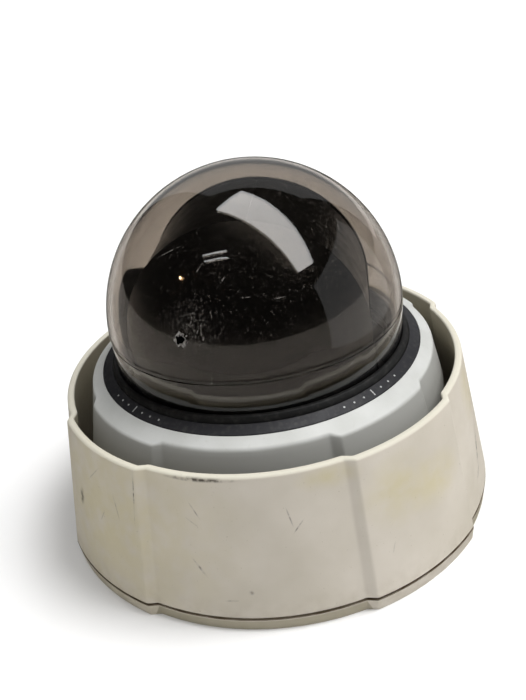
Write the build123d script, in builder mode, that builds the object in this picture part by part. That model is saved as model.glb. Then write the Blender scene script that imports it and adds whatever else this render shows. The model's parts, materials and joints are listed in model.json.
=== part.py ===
from build123d import *

import os
from math import acos, degrees, radians, sqrt, tan

# A pan, tilt and zoom dome camera, lying on its mounting side with the dome up.
# The origin is the centre of the face that it rests on, which is its top when it
# hangs, and +Z runs along the pan axis towards the dome. All sizes are in mm.

os.makedirs("parts", exist_ok=True)

LOW = (Align.CENTER, Align.CENTER, Align.MIN)

# Fits
fit_gap = 0.1  # between pieces that slot together
running_gap = 0.05  # radial, round a shaft or a screw

# Dome and the two rings round it
dome_radius = 74.5
dome_wall = 3.0
skirt_taper = 1.6  # the skirt's radius shrinks this much from equator to flange
dome_flange_width = 5.0
dome_flange_thickness = 3.0
gasket_thickness = 1.0
lip_thickness = 2.0
lip_rise = 3.0  # how far the rubber lip stands above the trim ring
trim_width = 5.3
face_width = 6.0  # sloping white face outside the trim ring, on the small lobes
face_slope = tan(radians(27.5))
face_drop = 25.2  # from the dome's centre down to the outer edge of that face
ring_draft = tan(radians(12.0))
ring_height = 22.8  # from the housing joint up to the outer edge of the face
ring_ledge_thickness = 4.0
ledge_drop = 1.8  # from the outer edge of the face down to the dome's seat
ledge_gap = 0.5
trim_seat_lift = 0.4
seal_land = 2.2

# Lobed outline: four large and four small lobes, joined by short ramps
lobe_count = 4
lobe_angle = 36.0
lobe_step = 2.8
ramp_width = 4.4
ramp_corner = 1.5

# Housing
housing_wall = 3.5
housing_floor_z = 8.0
housing_floor = 3.0
housing_flare = 2.0
ring_boss_radius = 5.5
ring_screw_radius = 2.0
ring_screw_length = 18.0
ring_screw_bite = 9.0
ring_screw_head = 3.5
ring_screw_head_height = 3.0
gasket_inset = 0.6

# Mount flange and cable recess
flange_radius = 55.0
flange_z = 2.0
mount_circle_radius = 42.0
mount_hole_radius = 2.5
recess_radius = 22.0
recess_wall = 3.0
recess_top_z = 16.0
flange_screw_circle = 33.0
flange_screw_radius = 2.0
flange_screw_head = 3.6
flange_counterbore = 2.3
socket_width = 16.0
socket_depth = 14.0
socket_height = 12.5
socket_collar = 3.0
socket_collar_height = 1.0
port_width = 12.0
port_depth = 8.0

# Weather shield and its cap
air_gap = 10.6
shield_wall = 3.6
shield_flare = 11.0
seam_z = 7.2
seam_gap = 0.4
rim_drop = 4.8  # the shield's rim is this far below the outer edge of the face
cap_wall = 3.0
cap_tongue = 1.5  # thickness and rise of the tongue that covers the seam inside
cap_draft = 0.8
cap_hole_gap = 2.0
cap_boss_radius = 5.0
cap_boss_circle = 70.0
shield_boss_radius = 4.5
shield_boss_height = 16.0
shield_screw_radius = 1.75
shield_screw_head = 3.4
shield_screw_head_height = 1.7
head_sink = 0.3

# Boards and chassis
board_gap = 1.2  # between the board's edge and the ring bosses
board_thickness = 1.6
board_lift = 6.0
board_post_radius = 3.0
board_post_circle = 60.0
recess_clearance = 2.0
post_clearance = 0.5
processor_size = 18.0
processor_circle = 44.0
processor_angle = 225.0
memory_length = 11.0
memory_width = 8.0
memory_spread = 33.0  # degrees, each side of the processor
chip_circle = 46.0
chip_height = 2.0
memory_height = 1.2
transformer_length = 15.0
transformer_width = 14.0
transformer_height = 9.0
transformer_angle = 320.0
capacitor_radius = 4.0
capacitor_height = 9.5
capacitor_circle = 48.0
capacitor_angle = 22.0
capacitor_span = 50.0
deck_z = 31.0
deck_thickness = 3.0
deck_gap = 0.7  # between the deck's edge and the ring bosses
deck_post_inset = 6.5
deck_post_radius = 3.0
deck_post_angle = 20.0
small_screw_radius = 1.25
small_screw_head = 2.6
small_screw_head_height = 1.6
small_screw_length = 8.0
board_screw_length = 6.0
bezel_drop = 5.0  # from the housing joint down to the bezel
bezel_wall = 1.5
bezel_gap = 3.5
bezel_edge_gap = 0.5
bezel_lip_height = 20.0

# Pan bearing, slip ring and drive
hub_radius = 20.0
hub_bore = 12.0
hub_drop = 1.0
race_thickness = 4.0
ball_radius = 2.4
ball_count = 20
groove_depth = 0.5
bearing_height = 7.0
bearing_lift = 1.0
seat_wall = 3.0
spindle_radius = 5.0
spindle_flange = 3.0
spindle_drop = 1.0
slip_gap = 0.5
stator_radius = 13.0
stator_height = 7.5
stator_flange = 4.0
stator_shelf = 1.5
pan_pulley_radius = 40.0
pan_pulley_teeth = 60
pan_pinion_teeth = 12
pulley_height = 4.0
belt_thickness = 1.2
belt_gap = 0.2
belt_width = 3.2
pan_drive_distance = 60.0
pan_motor_radius = 14.0
pan_motor_height = 11.5
motor_shaft_radius = 1.5
shaft_clearance = 1.0
platform_gap = 0.4
platform_thickness = 3.0
cover_gap = 5.5  # between the dome's inside and the yoke covers

# Yoke and tilt drive
cover_wall = 2.0
slot_half_width = 31.0
slot_wall = 1.5
arm_gap = 0.5
arm_thickness = 3.0
arm_half_width = 22.0
arm_top_radius = 14.0
foot_length = 10.0
foot_half_width = 18.0
foot_screw_spread = 11.7
tilt_bearing_radius = 8.0
axle_radius = 4.0
axle_collar_radius = 6.0
axle_collar = 2.0
tilt_drive_distance = 27.0
tilt_motor_radius = 9.0
tilt_motor_length = 9.5
tilt_shaft_radius = 1.2
tilt_pulley_radius = 15.0
tilt_pulley_teeth = 36
tilt_pinion_teeth = 12
tilt_pulley_width = 3.5
tilt_pulley_gap = 1.5

# Camera head and lens
head_gap = 1.0  # each side, between the head and the slot
head_floor_gap = 3.0
head_crown_gap = 13.9  # between the dome's inside and the drum of the head
axle_end = 1.0
head_wall = 2.5
head_split_y = 6.0
head_split_gap = 0.2
snout_radius = 24.0
snout_wall = 2.5
sweep_gap = 3.0
barrel_gap = 1.5
barrel_wall = 2.0
barrel_setback = 3.0
barrel_plate_y = -7.0
barrel_plate = 2.0
barrel_plate_height = 46.0
front_lens_edge = 2.0
front_lens_bulge = 3.5
front_lens_setback = 1.5
rod_radius = 1.0
rod_circle = 13.5
carrier_radius = 16.0
carrier_length = 5.0
group_lens_radius = 9.0
zoom_start = 12.0  # from the barrel's front end to the zoom carrier
zoom_travel = 14.0
focus_travel = 3.0
iris_blade = 1.0
iris_half_width = 9.0
iris_height = 13.0
iris_gap = 0.3
iris_notch = 4.3
group_gap = 2.0
filter_size = 16.0
filter_thickness = 1.0
sensor_board_size = 46.0
sensor_width = 14.0
sensor_height = 11.0
sensor_thickness = 1.5
sensor_post_inset = 3.0
sensor_post_radius = 2.5
light_hole = 9.0
lens_bulge = 1.0
lens_inset = 1.0
rod_end_gap = 0.5

# Service items under the bezel
button_inset = 4.0
button_angle = 315.0
button_spread = 6.0
button_radius = 2.2
button_stand = 0.8
button_travel = 0.5
fan_size = 25.0
fan_height = 8.0
fan_circle = 60.0
fan_angle = 245.0
fan_blades = 7
fan_bore = 11.5
fan_hub = 5.0
fan_pin = 1.0
fan_floor = 1.0
fan_spoke = 2.0
blade_length = 6.4
blade_thickness = 0.8
blade_width = 5.0
blade_sink = 0.7
blade_pitch = 35.0
rotor_lift = 0.5
service_board_length = 24.0
service_board_width = 11.0
service_post_radius = 2.0
service_drop = 11.0  # from the bezel down to the service board
switch_size = 6.0
switch_height = 3.0
button_collar = 0.8
leg_inset = 5.0
leg_radius = 3.0
heater_angle = 65.0
heater_circle = 56.0
heater_width = 16.0
heater_length = 33.0
heater_base = 3.0
fin_height = 7.0
fin_thickness = 1.6
fin_pitch = 6.0
fin_count = 6
pan_motor_angle = 135.0

# Worked out from the sizes above: first the stack of the chassis, up to the dome
floor_top_z = housing_floor_z + housing_floor
board_z = floor_top_z + board_lift
board_top_z = board_z + board_thickness
deck_top_z = deck_z + deck_thickness
bearing_z = deck_top_z + bearing_lift
pulley_z = bearing_z + bearing_height + platform_gap
pulley_top_z = pulley_z + pulley_height
platform_top_z = pulley_top_z + platform_thickness
dome_inside = dome_radius - dome_wall
head_radius = dome_inside - head_crown_gap
dome_centre_z = platform_top_z + head_floor_gap + head_radius
face_z = dome_centre_z - face_drop
ring_joint_z = face_z - ring_height
rim_z = face_z - rim_drop
ledge_z = face_z - ledge_drop
dome_flange_z = ledge_z + gasket_thickness
flange_top_z = dome_flange_z + dome_flange_thickness
trim_seat_z = dome_flange_z + trim_seat_lift
housing_top_z = ring_joint_z - gasket_thickness
bezel_z = ring_joint_z - bezel_drop
bezel_lip_top = bezel_z + bezel_lip_height
service_board_z = bezel_z - service_drop

# Then the radii, from the dome outwards
skirt_radius = dome_radius - skirt_taper
flange_outer = dome_radius + dome_flange_width
trim_inner = dome_radius + running_gap + lip_thickness + fit_gap
trim_outer = trim_inner + trim_width
face_inner = trim_outer + fit_gap
housing_radius = face_inner + face_width
ring_base_radius = housing_radius + ring_height * ring_draft
housing_base_radius = ring_base_radius + housing_flare
rim_radius = housing_radius + air_gap + shield_wall
base_radius = rim_radius + shield_flare
ring_boss_circle = ring_base_radius + lobe_step - housing_wall - ring_boss_radius
boss_inside = ring_boss_circle - ring_boss_radius
board_radius = boss_inside - board_gap
deck_radius = boss_inside - deck_gap
deck_post_circle = deck_radius - deck_post_inset

# And what turns inside the dome
race_inner = hub_radius + race_thickness
race_outer = race_inner + 2 * (ball_radius - groove_depth)
bearing_outer = race_outer + race_thickness
pan_pinion_radius = pan_pulley_radius * pan_pinion_teeth / pan_pulley_teeth
tilt_pinion_radius = tilt_pulley_radius * tilt_pinion_teeth / tilt_pulley_teeth
cover_radius = dome_inside - cover_gap
bezel_inner = cover_radius + bezel_gap
bezel_outer = boss_inside - bezel_edge_gap
button_circle = bezel_inner + bezel_wall + button_inset
leg_circle = bezel_inner + bezel_wall + leg_inset
arm_inner_x = slot_half_width + slot_wall + arm_gap
arm_outer_x = arm_inner_x + arm_thickness
head_half_width = slot_half_width - head_gap
sweep_radius = dome_inside - sweep_gap
snout_front = sqrt(sweep_radius**2 - snout_radius**2)
barrel_radius = snout_radius - snout_wall - barrel_gap
barrel_front = snout_front - barrel_setback
tilt_belt_x = arm_outer_x + tilt_motor_length + tilt_pulley_gap
lobe_turns = [45.0 + 90.0 * k for k in range(lobe_count)]


def face_height(radius):
    """Height of the sloping face at a radius."""
    return face_z + (housing_radius - radius) * face_slope


def polar(radius, angle):
    """Point in the plane at a radius and an angle in degrees."""
    return Vector(radius, 0, 0).rotate(Axis.Z, angle)


def lobed(small_radius):
    """Closed outline of the lobes, given the radius of the small ones."""
    large_radius = small_radius + lobe_step
    ramp = degrees(ramp_width / small_radius)
    large_arc = lobe_angle - ramp
    small_arc = 360 / lobe_count - lobe_angle - ramp
    with BuildSketch() as outline:
        with BuildLine():
            for middle in lobe_turns:
                start = middle - large_arc / 2
                big = CenterArc((0, 0), large_radius, start, large_arc)
                after = middle + large_arc / 2 + ramp
                small = CenterArc((0, 0), small_radius, after, small_arc)
                Line(big @ 1, small @ 0)
                Line(small @ 1, polar(large_radius, start + 360 / lobe_count))
        make_face()
        fillet(outline.vertices(), ramp_corner)
    return outline.sketch


def lobed_loft(low_z, low_radius, high_z, high_radius, mode=Mode.ADD):
    """Solid between a lobed outline at one height and another at a second height."""
    with BuildSketch(Plane.XY.offset(low_z)) as low:
        add(lobed(low_radius))
    with BuildSketch(Plane.XY.offset(high_z)) as high:
        add(lobed(high_radius))
    loft(sections=[low.sketch, high.sketch], ruled=True, mode=mode)


def turned(points, mode=Mode.ADD):
    """Solid turned about Z from (radius, height) points."""
    with BuildSketch(Plane.XZ) as section:
        with BuildLine():
            Polyline(*points, close=True)
        make_face()
    revolve(section.sketch, axis=Axis.Z, mode=mode)


def screw(shaft_radius, shaft_length, head_radius, head_height):
    """Pan-headed screw with a cross recess: head below Z 0, shaft above it."""
    Cylinder(shaft_radius, shaft_length, align=LOW)
    with Locations((0, 0, -head_height)):
        Cylinder(head_radius, head_height, align=LOW)
        for turn in (0, 90):
            slot = (head_radius * 1.2, head_radius * 0.25, head_height * 0.5)
            Box(*slot, rotation=(0, 0, turn), align=LOW, mode=Mode.SUBTRACT)


def toothed(radius, teeth):
    """Timing pulley outline: a round notch between every two teeth."""
    with BuildSketch() as outline:
        Circle(radius)
        with PolarLocations(radius, teeth):
            Circle(radius / teeth * 1.3, mode=Mode.SUBTRACT)
    return outline.sketch


def belt_loop(first_radius, second_radius, distance):
    """Face of a belt run round two pulleys, the second on +X of the first."""

    def loop(extra):
        big = first_radius + extra
        small = second_radius + extra
        lean = degrees(acos((big - small) / distance))
        with BuildSketch() as outline:
            with BuildLine():
                far = CenterArc((0, 0), big, lean, 360 - 2 * lean)
                near = CenterArc((distance, 0), small, -lean, 2 * lean)
                Line(far @ 0, near @ 1)
                Line(far @ 1, near @ 0)
            make_face()
        return outline.sketch

    with BuildSketch() as band:
        add(loop(belt_gap + belt_thickness))
        add(loop(belt_gap), mode=Mode.SUBTRACT)
    return band.sketch


def plug(radius, length, plane, mode=Mode.ADD):
    """Cylinder that stands on a plane, along the plane's own normal."""
    with BuildSketch(plane) as section:
        Circle(radius)
    extrude(section.sketch, amount=length, mode=mode)


def plate(width, height, thickness, plane, mode=Mode.ADD):
    """Rectangular plate that stands on a plane, along the plane's own normal."""
    with BuildSketch(plane) as section:
        Rectangle(width, height)
    extrude(section.sketch, amount=thickness, mode=mode)


def across(x, y=0.0, z=dome_centre_z):
    """Plane that looks along +X, at a point, with its own X along -Z."""
    return Plane(origin=(x, y, z), x_dir=(0, 0, -1), z_dir=(1, 0, 0))


def ahead(y, x=0.0, z=dome_centre_z):
    """Plane that looks along -Y, the way the lens looks, at a point."""
    return Plane(origin=(x, y, z), x_dir=(1, 0, 0), z_dir=(0, -1, 0))


# Places shared by several pieces
shield_slope = shield_flare / (rim_z - seam_z)
shield_boss_circle = base_radius + lobe_step - shield_wall - shield_boss_radius + head_sink
cap_top_z = seam_z - seam_gap
cap_inside = base_radius - cap_wall
counterbore = shield_screw_head_height + head_sink
ring_boss_top = ring_joint_z + ring_screw_bite + housing_wall
ring_screw_z = ring_joint_z + ring_screw_bite - ring_screw_length
post_turns = [deck_post_angle + 90.0 * k for k in range(4)]
square_turns = [90.0 * k for k in range(4)]
button_turns = {
    "control_button": button_angle - button_spread,
    "restart_button": button_angle + button_spread,
}

# Cap: the piece that the camera lies on. Four screws go up through it into the
# weather shield, and four more into the housing floor.
with BuildPart() as mount_cap:
    lobed_loft(0, base_radius - cap_draft, cap_top_z, base_radius)
    lobed_loft(cap_wall, cap_inside, cap_top_z, cap_inside, mode=Mode.SUBTRACT)
    tongue_radius = base_radius - shield_wall - cap_tongue * shield_slope - fit_gap
    lobed_loft(cap_wall, tongue_radius, seam_z + cap_tongue, tongue_radius)
    tongue_inside = tongue_radius - cap_tongue
    lobed_loft(cap_wall, tongue_inside, seam_z + cap_tongue, tongue_inside, mode=Mode.SUBTRACT)
    with Locations((0, 0, seam_z)):
        with PolarLocations(shield_boss_circle, 4, start_angle=45):
            Cylinder(shield_boss_radius + fit_gap, cap_tongue, align=LOW, mode=Mode.SUBTRACT)
    with PolarLocations(shield_boss_circle, 4, start_angle=45):
        Cylinder(cap_boss_radius, seam_z, align=LOW)
    with PolarLocations(cap_boss_circle, 4, start_angle=45):
        Cylinder(cap_boss_radius, housing_floor_z, align=LOW)
    Cylinder(flange_radius + cap_hole_gap, cap_wall, align=LOW, mode=Mode.SUBTRACT)
    for circle in (shield_boss_circle, cap_boss_circle):
        with PolarLocations(circle, 4, start_angle=45):
            Cylinder(
                shield_screw_radius + running_gap, housing_floor_z, align=LOW, mode=Mode.SUBTRACT
            )
            Cylinder(
                shield_screw_head + fit_gap, counterbore, align=LOW, mode=Mode.SUBTRACT
            )
mount_cap.part.label = "mount_cap"
export_step(mount_cap.part, "parts/mount_cap.step")

# Weather shield: a lobed cone, open at the dome end, with an air gap inside it
with BuildPart() as weather_shield:
    lobed_loft(seam_z, base_radius, rim_z, rim_radius)
    lobed_loft(
        seam_z, base_radius - shield_wall, rim_z, rim_radius - shield_wall, mode=Mode.SUBTRACT
    )
    with Locations((0, 0, seam_z)):
        with PolarLocations(shield_boss_circle, 4, start_angle=45):
            Cylinder(shield_boss_radius, shield_boss_height, align=LOW)
            Cylinder(
                shield_screw_radius, shield_boss_height - shield_wall, align=LOW,
                mode=Mode.SUBTRACT,
            )
weather_shield.part.label = "weather_shield"
export_step(weather_shield.part, "parts/weather_shield.step")

# Screws through the cap, four into the shield and four into the housing
cap_screw_length = seam_z - counterbore + shield_boss_height - 2 * shield_wall
with BuildPart() as cap_screws:
    with Locations((0, 0, counterbore)):
        with PolarLocations(shield_boss_circle, 4, start_angle=45):
            screw(
                shield_screw_radius, cap_screw_length, shield_screw_head,
                shield_screw_head_height,
            )
        with PolarLocations(cap_boss_circle, 4, start_angle=45):
            screw(
                shield_screw_radius, floor_top_z - counterbore, shield_screw_head,
                shield_screw_head_height,
            )
cap_screws.part.label = "cap_screws"
export_step(cap_screws.part, "parts/cap_screws.step")

# Housing: a cast cup with the bosses for the dome ring and the posts for the
# board and the deck. A tunnel up each boss lets its screw in from below.
board_post_height = board_z - floor_top_z
deck_post_height = deck_z - floor_top_z
with BuildPart() as housing:
    lobed_loft(housing_floor_z, housing_base_radius, housing_top_z, ring_base_radius)
    lobed_loft(
        floor_top_z, housing_base_radius - housing_wall,
        housing_top_z, ring_base_radius - housing_wall, mode=Mode.SUBTRACT,
    )
    with Locations((0, 0, housing_floor_z)):
        with PolarLocations(ring_boss_circle, 4, start_angle=45):
            Cylinder(ring_boss_radius, housing_top_z - housing_floor_z, align=LOW)
            Cylinder(
                ring_screw_radius + running_gap, housing_top_z, align=LOW, mode=Mode.SUBTRACT
            )
            Cylinder(
                ring_screw_head + fit_gap, ring_screw_z - housing_floor_z, align=LOW,
                mode=Mode.SUBTRACT,
            )
        with PolarLocations(cap_boss_circle, 4, start_angle=45):
            Cylinder(shield_screw_radius, housing_floor, align=LOW, mode=Mode.SUBTRACT)
        with PolarLocations(flange_screw_circle, 4, start_angle=45):
            Cylinder(flange_screw_radius, housing_floor, align=LOW, mode=Mode.SUBTRACT)
        Cylinder(recess_radius + fit_gap, housing_floor, align=LOW, mode=Mode.SUBTRACT)
    with Locations((0, 0, floor_top_z)):
        with PolarLocations(board_post_circle, 4):
            Cylinder(board_post_radius, board_post_height, align=LOW)
            Cylinder(small_screw_radius, board_post_height, align=LOW, mode=Mode.SUBTRACT)
        with PolarLocations(deck_post_circle, 4, start_angle=deck_post_angle):
            Cylinder(deck_post_radius, deck_post_height, align=LOW)
            Cylinder(small_screw_radius, deck_post_height, align=LOW, mode=Mode.SUBTRACT)
housing.part.label = "housing"
export_step(housing.part, "parts/housing.step")

# Mount flange: the plate that the camera hangs by, with the cable recess
flange_thickness = housing_floor_z - flange_z
with BuildPart() as mount_flange:
    with Locations((0, 0, flange_z)):
        Cylinder(flange_radius, flange_thickness, align=LOW)
        Cylinder(recess_radius, recess_top_z - flange_z, align=LOW)
        Cylinder(
            recess_radius - recess_wall, recess_top_z - recess_wall - flange_z, align=LOW,
            mode=Mode.SUBTRACT,
        )
        with PolarLocations(mount_circle_radius, 4):
            Cylinder(mount_hole_radius, flange_thickness, align=LOW, mode=Mode.SUBTRACT)
        with PolarLocations(flange_screw_circle, 4, start_angle=45):
            Cylinder(
                flange_screw_radius + running_gap, flange_thickness, align=LOW,
                mode=Mode.SUBTRACT,
            )
            Cylinder(
                flange_screw_head + fit_gap, flange_counterbore, align=LOW, mode=Mode.SUBTRACT
            )
        Box(
            socket_width + 2 * fit_gap, socket_depth + 2 * fit_gap, recess_top_z, align=LOW,
            mode=Mode.SUBTRACT,
        )
mount_flange.part.label = "mount_flange"
export_step(mount_flange.part, "parts/mount_flange.step")

# Screws that hold the flange to the housing floor
with BuildPart() as flange_screws:
    with Locations((0, 0, flange_z + flange_counterbore)):
        with PolarLocations(flange_screw_circle, 4, start_angle=45):
            screw(
                flange_screw_radius, floor_top_z - flange_z - flange_counterbore,
                flange_screw_head, shield_screw_head_height,
            )
flange_screws.part.label = "flange_screws"
export_step(flange_screws.part, "parts/flange_screws.step")

# Network socket in the roof of the recess, with its port facing out of it
socket_low_z = recess_top_z - recess_wall
with BuildPart() as network_socket:
    with Locations((0, 0, recess_top_z)):
        Box(
            socket_width + socket_collar, socket_depth + socket_collar,
            socket_collar_height, align=LOW,
        )
    with Locations((0, 0, socket_low_z)):
        Box(socket_width, socket_depth, socket_height, align=LOW)
        Box(port_width, port_depth, socket_height - socket_collar, align=LOW, mode=Mode.SUBTRACT)
network_socket.part.label = "network_socket"
export_step(network_socket.part, "parts/network_socket.step")

# Main board, with room round the recess and the deck posts. Its chips, its
# transformer and its three capacitors are soldered to it.
memory_places = [
    polar(chip_circle, processor_angle - memory_spread),
    polar(chip_circle, processor_angle + memory_spread),
]
with BuildPart() as main_board:
    with Locations((0, 0, board_z)):
        Cylinder(board_radius, board_thickness, align=LOW)
        Cylinder(recess_radius + recess_clearance, board_thickness, align=LOW, mode=Mode.SUBTRACT)
        with PolarLocations(board_post_circle, 4):
            Cylinder(
                small_screw_radius + running_gap, board_thickness, align=LOW,
                mode=Mode.SUBTRACT,
            )
        with PolarLocations(deck_post_circle, 4, start_angle=deck_post_angle):
            Cylinder(
                deck_post_radius + post_clearance, board_thickness, align=LOW,
                mode=Mode.SUBTRACT,
            )
    with Locations((0, 0, board_top_z)):
        with Locations(polar(processor_circle, processor_angle)):
            Box(processor_size, processor_size, chip_height, align=LOW)
        with Locations(*memory_places):
            Box(memory_length, memory_width, memory_height, align=LOW)
        with Locations(polar(chip_circle, transformer_angle)):
            Box(transformer_length, transformer_width, transformer_height, align=LOW)
        with PolarLocations(
            capacitor_circle, 3, start_angle=capacitor_angle, angular_range=capacitor_span
        ):
            Cylinder(capacitor_radius, capacitor_height, align=LOW)
main_board.part.label = "main_board"
export_step(main_board.part, "parts/main_board.step")

# Deck: the plate that carries the pan bearing, the pan motor and the fan
seat_inner = bearing_outer + running_gap
pan_motor_place = polar(pan_drive_distance, pan_motor_angle)
fan_place = polar(fan_circle, fan_angle)
with BuildPart() as deck:
    with Locations((0, 0, deck_z)):
        Cylinder(deck_radius, deck_thickness, align=LOW)
        Cylinder(
            seat_inner + seat_wall, deck_thickness + bearing_lift + bearing_height, align=LOW
        )
        with Locations((0, 0, deck_thickness + bearing_lift)):
            Cylinder(seat_inner, bearing_height, align=LOW, mode=Mode.SUBTRACT)
        Cylinder(
            race_outer, deck_thickness + bearing_lift, align=LOW, mode=Mode.SUBTRACT
        )
        Cylinder(race_outer, stator_shelf, align=LOW)
        Cylinder(stator_radius, stator_shelf, align=LOW, mode=Mode.SUBTRACT)
        with PolarLocations(deck_post_circle, 4, start_angle=deck_post_angle):
            Cylinder(
                small_screw_radius + running_gap, deck_thickness, align=LOW, mode=Mode.SUBTRACT
            )
        with Locations(pan_motor_place):
            Cylinder(
                motor_shaft_radius + shaft_clearance, deck_thickness, align=LOW,
                mode=Mode.SUBTRACT,
            )
        with Locations(fan_place):
            Cylinder(fan_bore, deck_thickness, align=LOW, mode=Mode.SUBTRACT)
deck.part.label = "deck"
export_step(deck.part, "parts/deck.step")

# Small screws, head up: four through the board and four through the deck
with BuildPart() as chassis_screws:
    for angle in square_turns:
        place = polar(board_post_circle, angle)
        with Locations(Location((place.X, place.Y, board_top_z), (180, 0, 0))):
            screw(
                small_screw_radius, board_screw_length, small_screw_head,
                small_screw_head_height,
            )
    for angle in post_turns:
        place = polar(deck_post_circle, angle)
        with Locations(Location((place.X, place.Y, deck_top_z), (180, 0, 0))):
            screw(
                small_screw_radius, small_screw_length, small_screw_head,
                small_screw_head_height,
            )
chassis_screws.part.label = "chassis_screws"
export_step(chassis_screws.part, "parts/chassis_screws.step")

# Gasket between the housing and the dome ring
with BuildPart() as ring_gasket:
    gasket_radius = ring_base_radius - gasket_inset
    lobed_loft(housing_top_z, gasket_radius, ring_joint_z, gasket_radius)
    gasket_inside = gasket_radius - seal_land
    lobed_loft(housing_top_z, gasket_inside, ring_joint_z, gasket_inside, mode=Mode.SUBTRACT)
ring_gasket.part.label = "ring_gasket"
export_step(ring_gasket.part, "parts/ring_gasket.step")

# Dome ring: the white lobed ring with the sloping face
dome_ring_top = face_height(face_inner)
dome_ring_top_radius = ring_base_radius - (dome_ring_top - ring_joint_z) * ring_draft
ring_cavity_top = ledge_z - ring_ledge_thickness
ring_cavity_radius = ring_base_radius - housing_wall
ring_cavity_top_radius = ring_cavity_radius - (ring_cavity_top - ring_joint_z) * ring_draft
ledge_inner = dome_inside + ledge_gap
with BuildPart() as dome_ring:
    lobed_loft(ring_joint_z, ring_base_radius, dome_ring_top, dome_ring_top_radius)
    beyond = base_radius
    turned(
        [
            (face_inner, dome_ring_top), (beyond, face_height(beyond)),
            (beyond, dome_ring_top + 1), (face_inner, dome_ring_top + 1),
        ],
        mode=Mode.SUBTRACT,
    )
    lobed_loft(
        ring_joint_z, ring_cavity_radius, ring_cavity_top, ring_cavity_top_radius,
        mode=Mode.SUBTRACT,
    )
    with Locations((0, 0, ledge_z)):
        Cylinder(face_inner, ring_joint_z, align=LOW, mode=Mode.SUBTRACT)
    with Locations((0, 0, ring_joint_z)):
        Cylinder(ledge_inner, ring_joint_z, align=LOW, mode=Mode.SUBTRACT)
        with PolarLocations(ring_boss_circle, 4, start_angle=45):
            Cylinder(ring_boss_radius, ring_boss_top - ring_joint_z, align=LOW)
            Cylinder(ring_screw_radius, ring_screw_bite + 1, align=LOW, mode=Mode.SUBTRACT)
dome_ring.part.label = "dome_ring"
export_step(dome_ring.part, "parts/dome_ring.step")

# Long screws up through the housing bosses into the dome ring
with BuildPart() as ring_screws:
    with Locations((0, 0, ring_screw_z)):
        with PolarLocations(ring_boss_circle, 4, start_angle=45):
            screw(ring_screw_radius, ring_screw_length, ring_screw_head, ring_screw_head_height)
ring_screws.part.label = "ring_screws"
export_step(ring_screws.part, "parts/ring_screws.step")

# Flat gasket under the dome's flange
with BuildPart() as dome_gasket:
    turned(
        [
            (ledge_inner, ledge_z), (flange_outer, ledge_z),
            (flange_outer, dome_flange_z), (ledge_inner, dome_flange_z),
        ]
    )
dome_gasket.part.label = "dome_gasket"
export_step(dome_gasket.part, "parts/dome_gasket.step")

# Smoked dome: half a ball on a skirt that draws in a little to its flange
with BuildPart() as dome_cover:
    skirt_inside = skirt_radius - dome_wall
    crown = Vector(0, dome_centre_z + dome_radius)
    inner_crown = Vector(0, dome_centre_z + dome_inside)
    lean = dome_radius * sqrt(0.5)
    inner_lean = dome_inside * sqrt(0.5)
    with BuildSketch(Plane.XZ):
        with BuildLine():
            ThreePointArc((dome_radius, dome_centre_z), (lean, dome_centre_z + lean), crown)
            Line(crown, inner_crown)
            ThreePointArc(
                inner_crown, (inner_lean, dome_centre_z + inner_lean),
                (dome_inside, dome_centre_z),
            )
            Polyline(
                (dome_inside, dome_centre_z), (skirt_inside, flange_top_z),
                (skirt_inside, dome_flange_z), (flange_outer, dome_flange_z),
                (flange_outer, flange_top_z), (skirt_radius, flange_top_z),
                (dome_radius, dome_centre_z),
            )
        make_face()
    revolve(axis=Axis.Z)
dome_cover.part.label = "dome_cover"
export_step(dome_cover.part, "parts/dome_cover.step")

# Rubber lip between the dome's skirt and the trim ring
lip_top_z = face_height(trim_inner) + lip_rise
lip_share = (lip_top_z - flange_top_z) / (dome_centre_z - flange_top_z)
lip_top_inner = skirt_radius + skirt_taper * lip_share + fit_gap
with BuildPart() as dome_lip:
    turned(
        [
            (skirt_radius + fit_gap, flange_top_z), (trim_inner - fit_gap, flange_top_z),
            (trim_inner - fit_gap, lip_top_z - lip_thickness),
            (lip_top_inner + lip_thickness, lip_top_z), (lip_top_inner, lip_top_z),
        ]
    )
dome_lip.part.label = "dome_lip"
export_step(dome_lip.part, "parts/dome_lip.step")

# Black trim ring: a sloping snap-in ring that holds the dome's flange down
with BuildPart() as trim_ring:
    turned(
        [
            (trim_inner, flange_top_z), (flange_outer + fit_gap, flange_top_z),
            (flange_outer + fit_gap, trim_seat_z), (trim_outer, trim_seat_z),
            (trim_outer, face_height(trim_outer)), (trim_inner, face_height(trim_inner)),
        ]
    )
trim_ring.part.label = "trim_ring"
export_step(trim_ring.part, "parts/trim_ring.step")

# Bezel: the black ring that closes the gap between the housing and the turning
# part, on four legs that stand on the deck
with BuildPart() as bezel:
    with Locations((0, 0, bezel_z)):
        Cylinder(bezel_outer, bezel_wall, align=LOW)
        Cylinder(bezel_inner + bezel_wall, bezel_lip_top - bezel_z, align=LOW)
        Cylinder(bezel_inner, bezel_lip_top - bezel_z, align=LOW, mode=Mode.SUBTRACT)
        for turn in button_turns.values():
            with Locations(polar(button_circle, turn)):
                Cylinder(button_radius + running_gap, bezel_wall, align=LOW, mode=Mode.SUBTRACT)
    with Locations((0, 0, deck_top_z)):
        with PolarLocations(leg_circle, 4):
            Cylinder(leg_radius, bezel_z - deck_top_z, align=LOW)
bezel.part.label = "bezel"
export_step(bezel.part, "parts/bezel.step")

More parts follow.
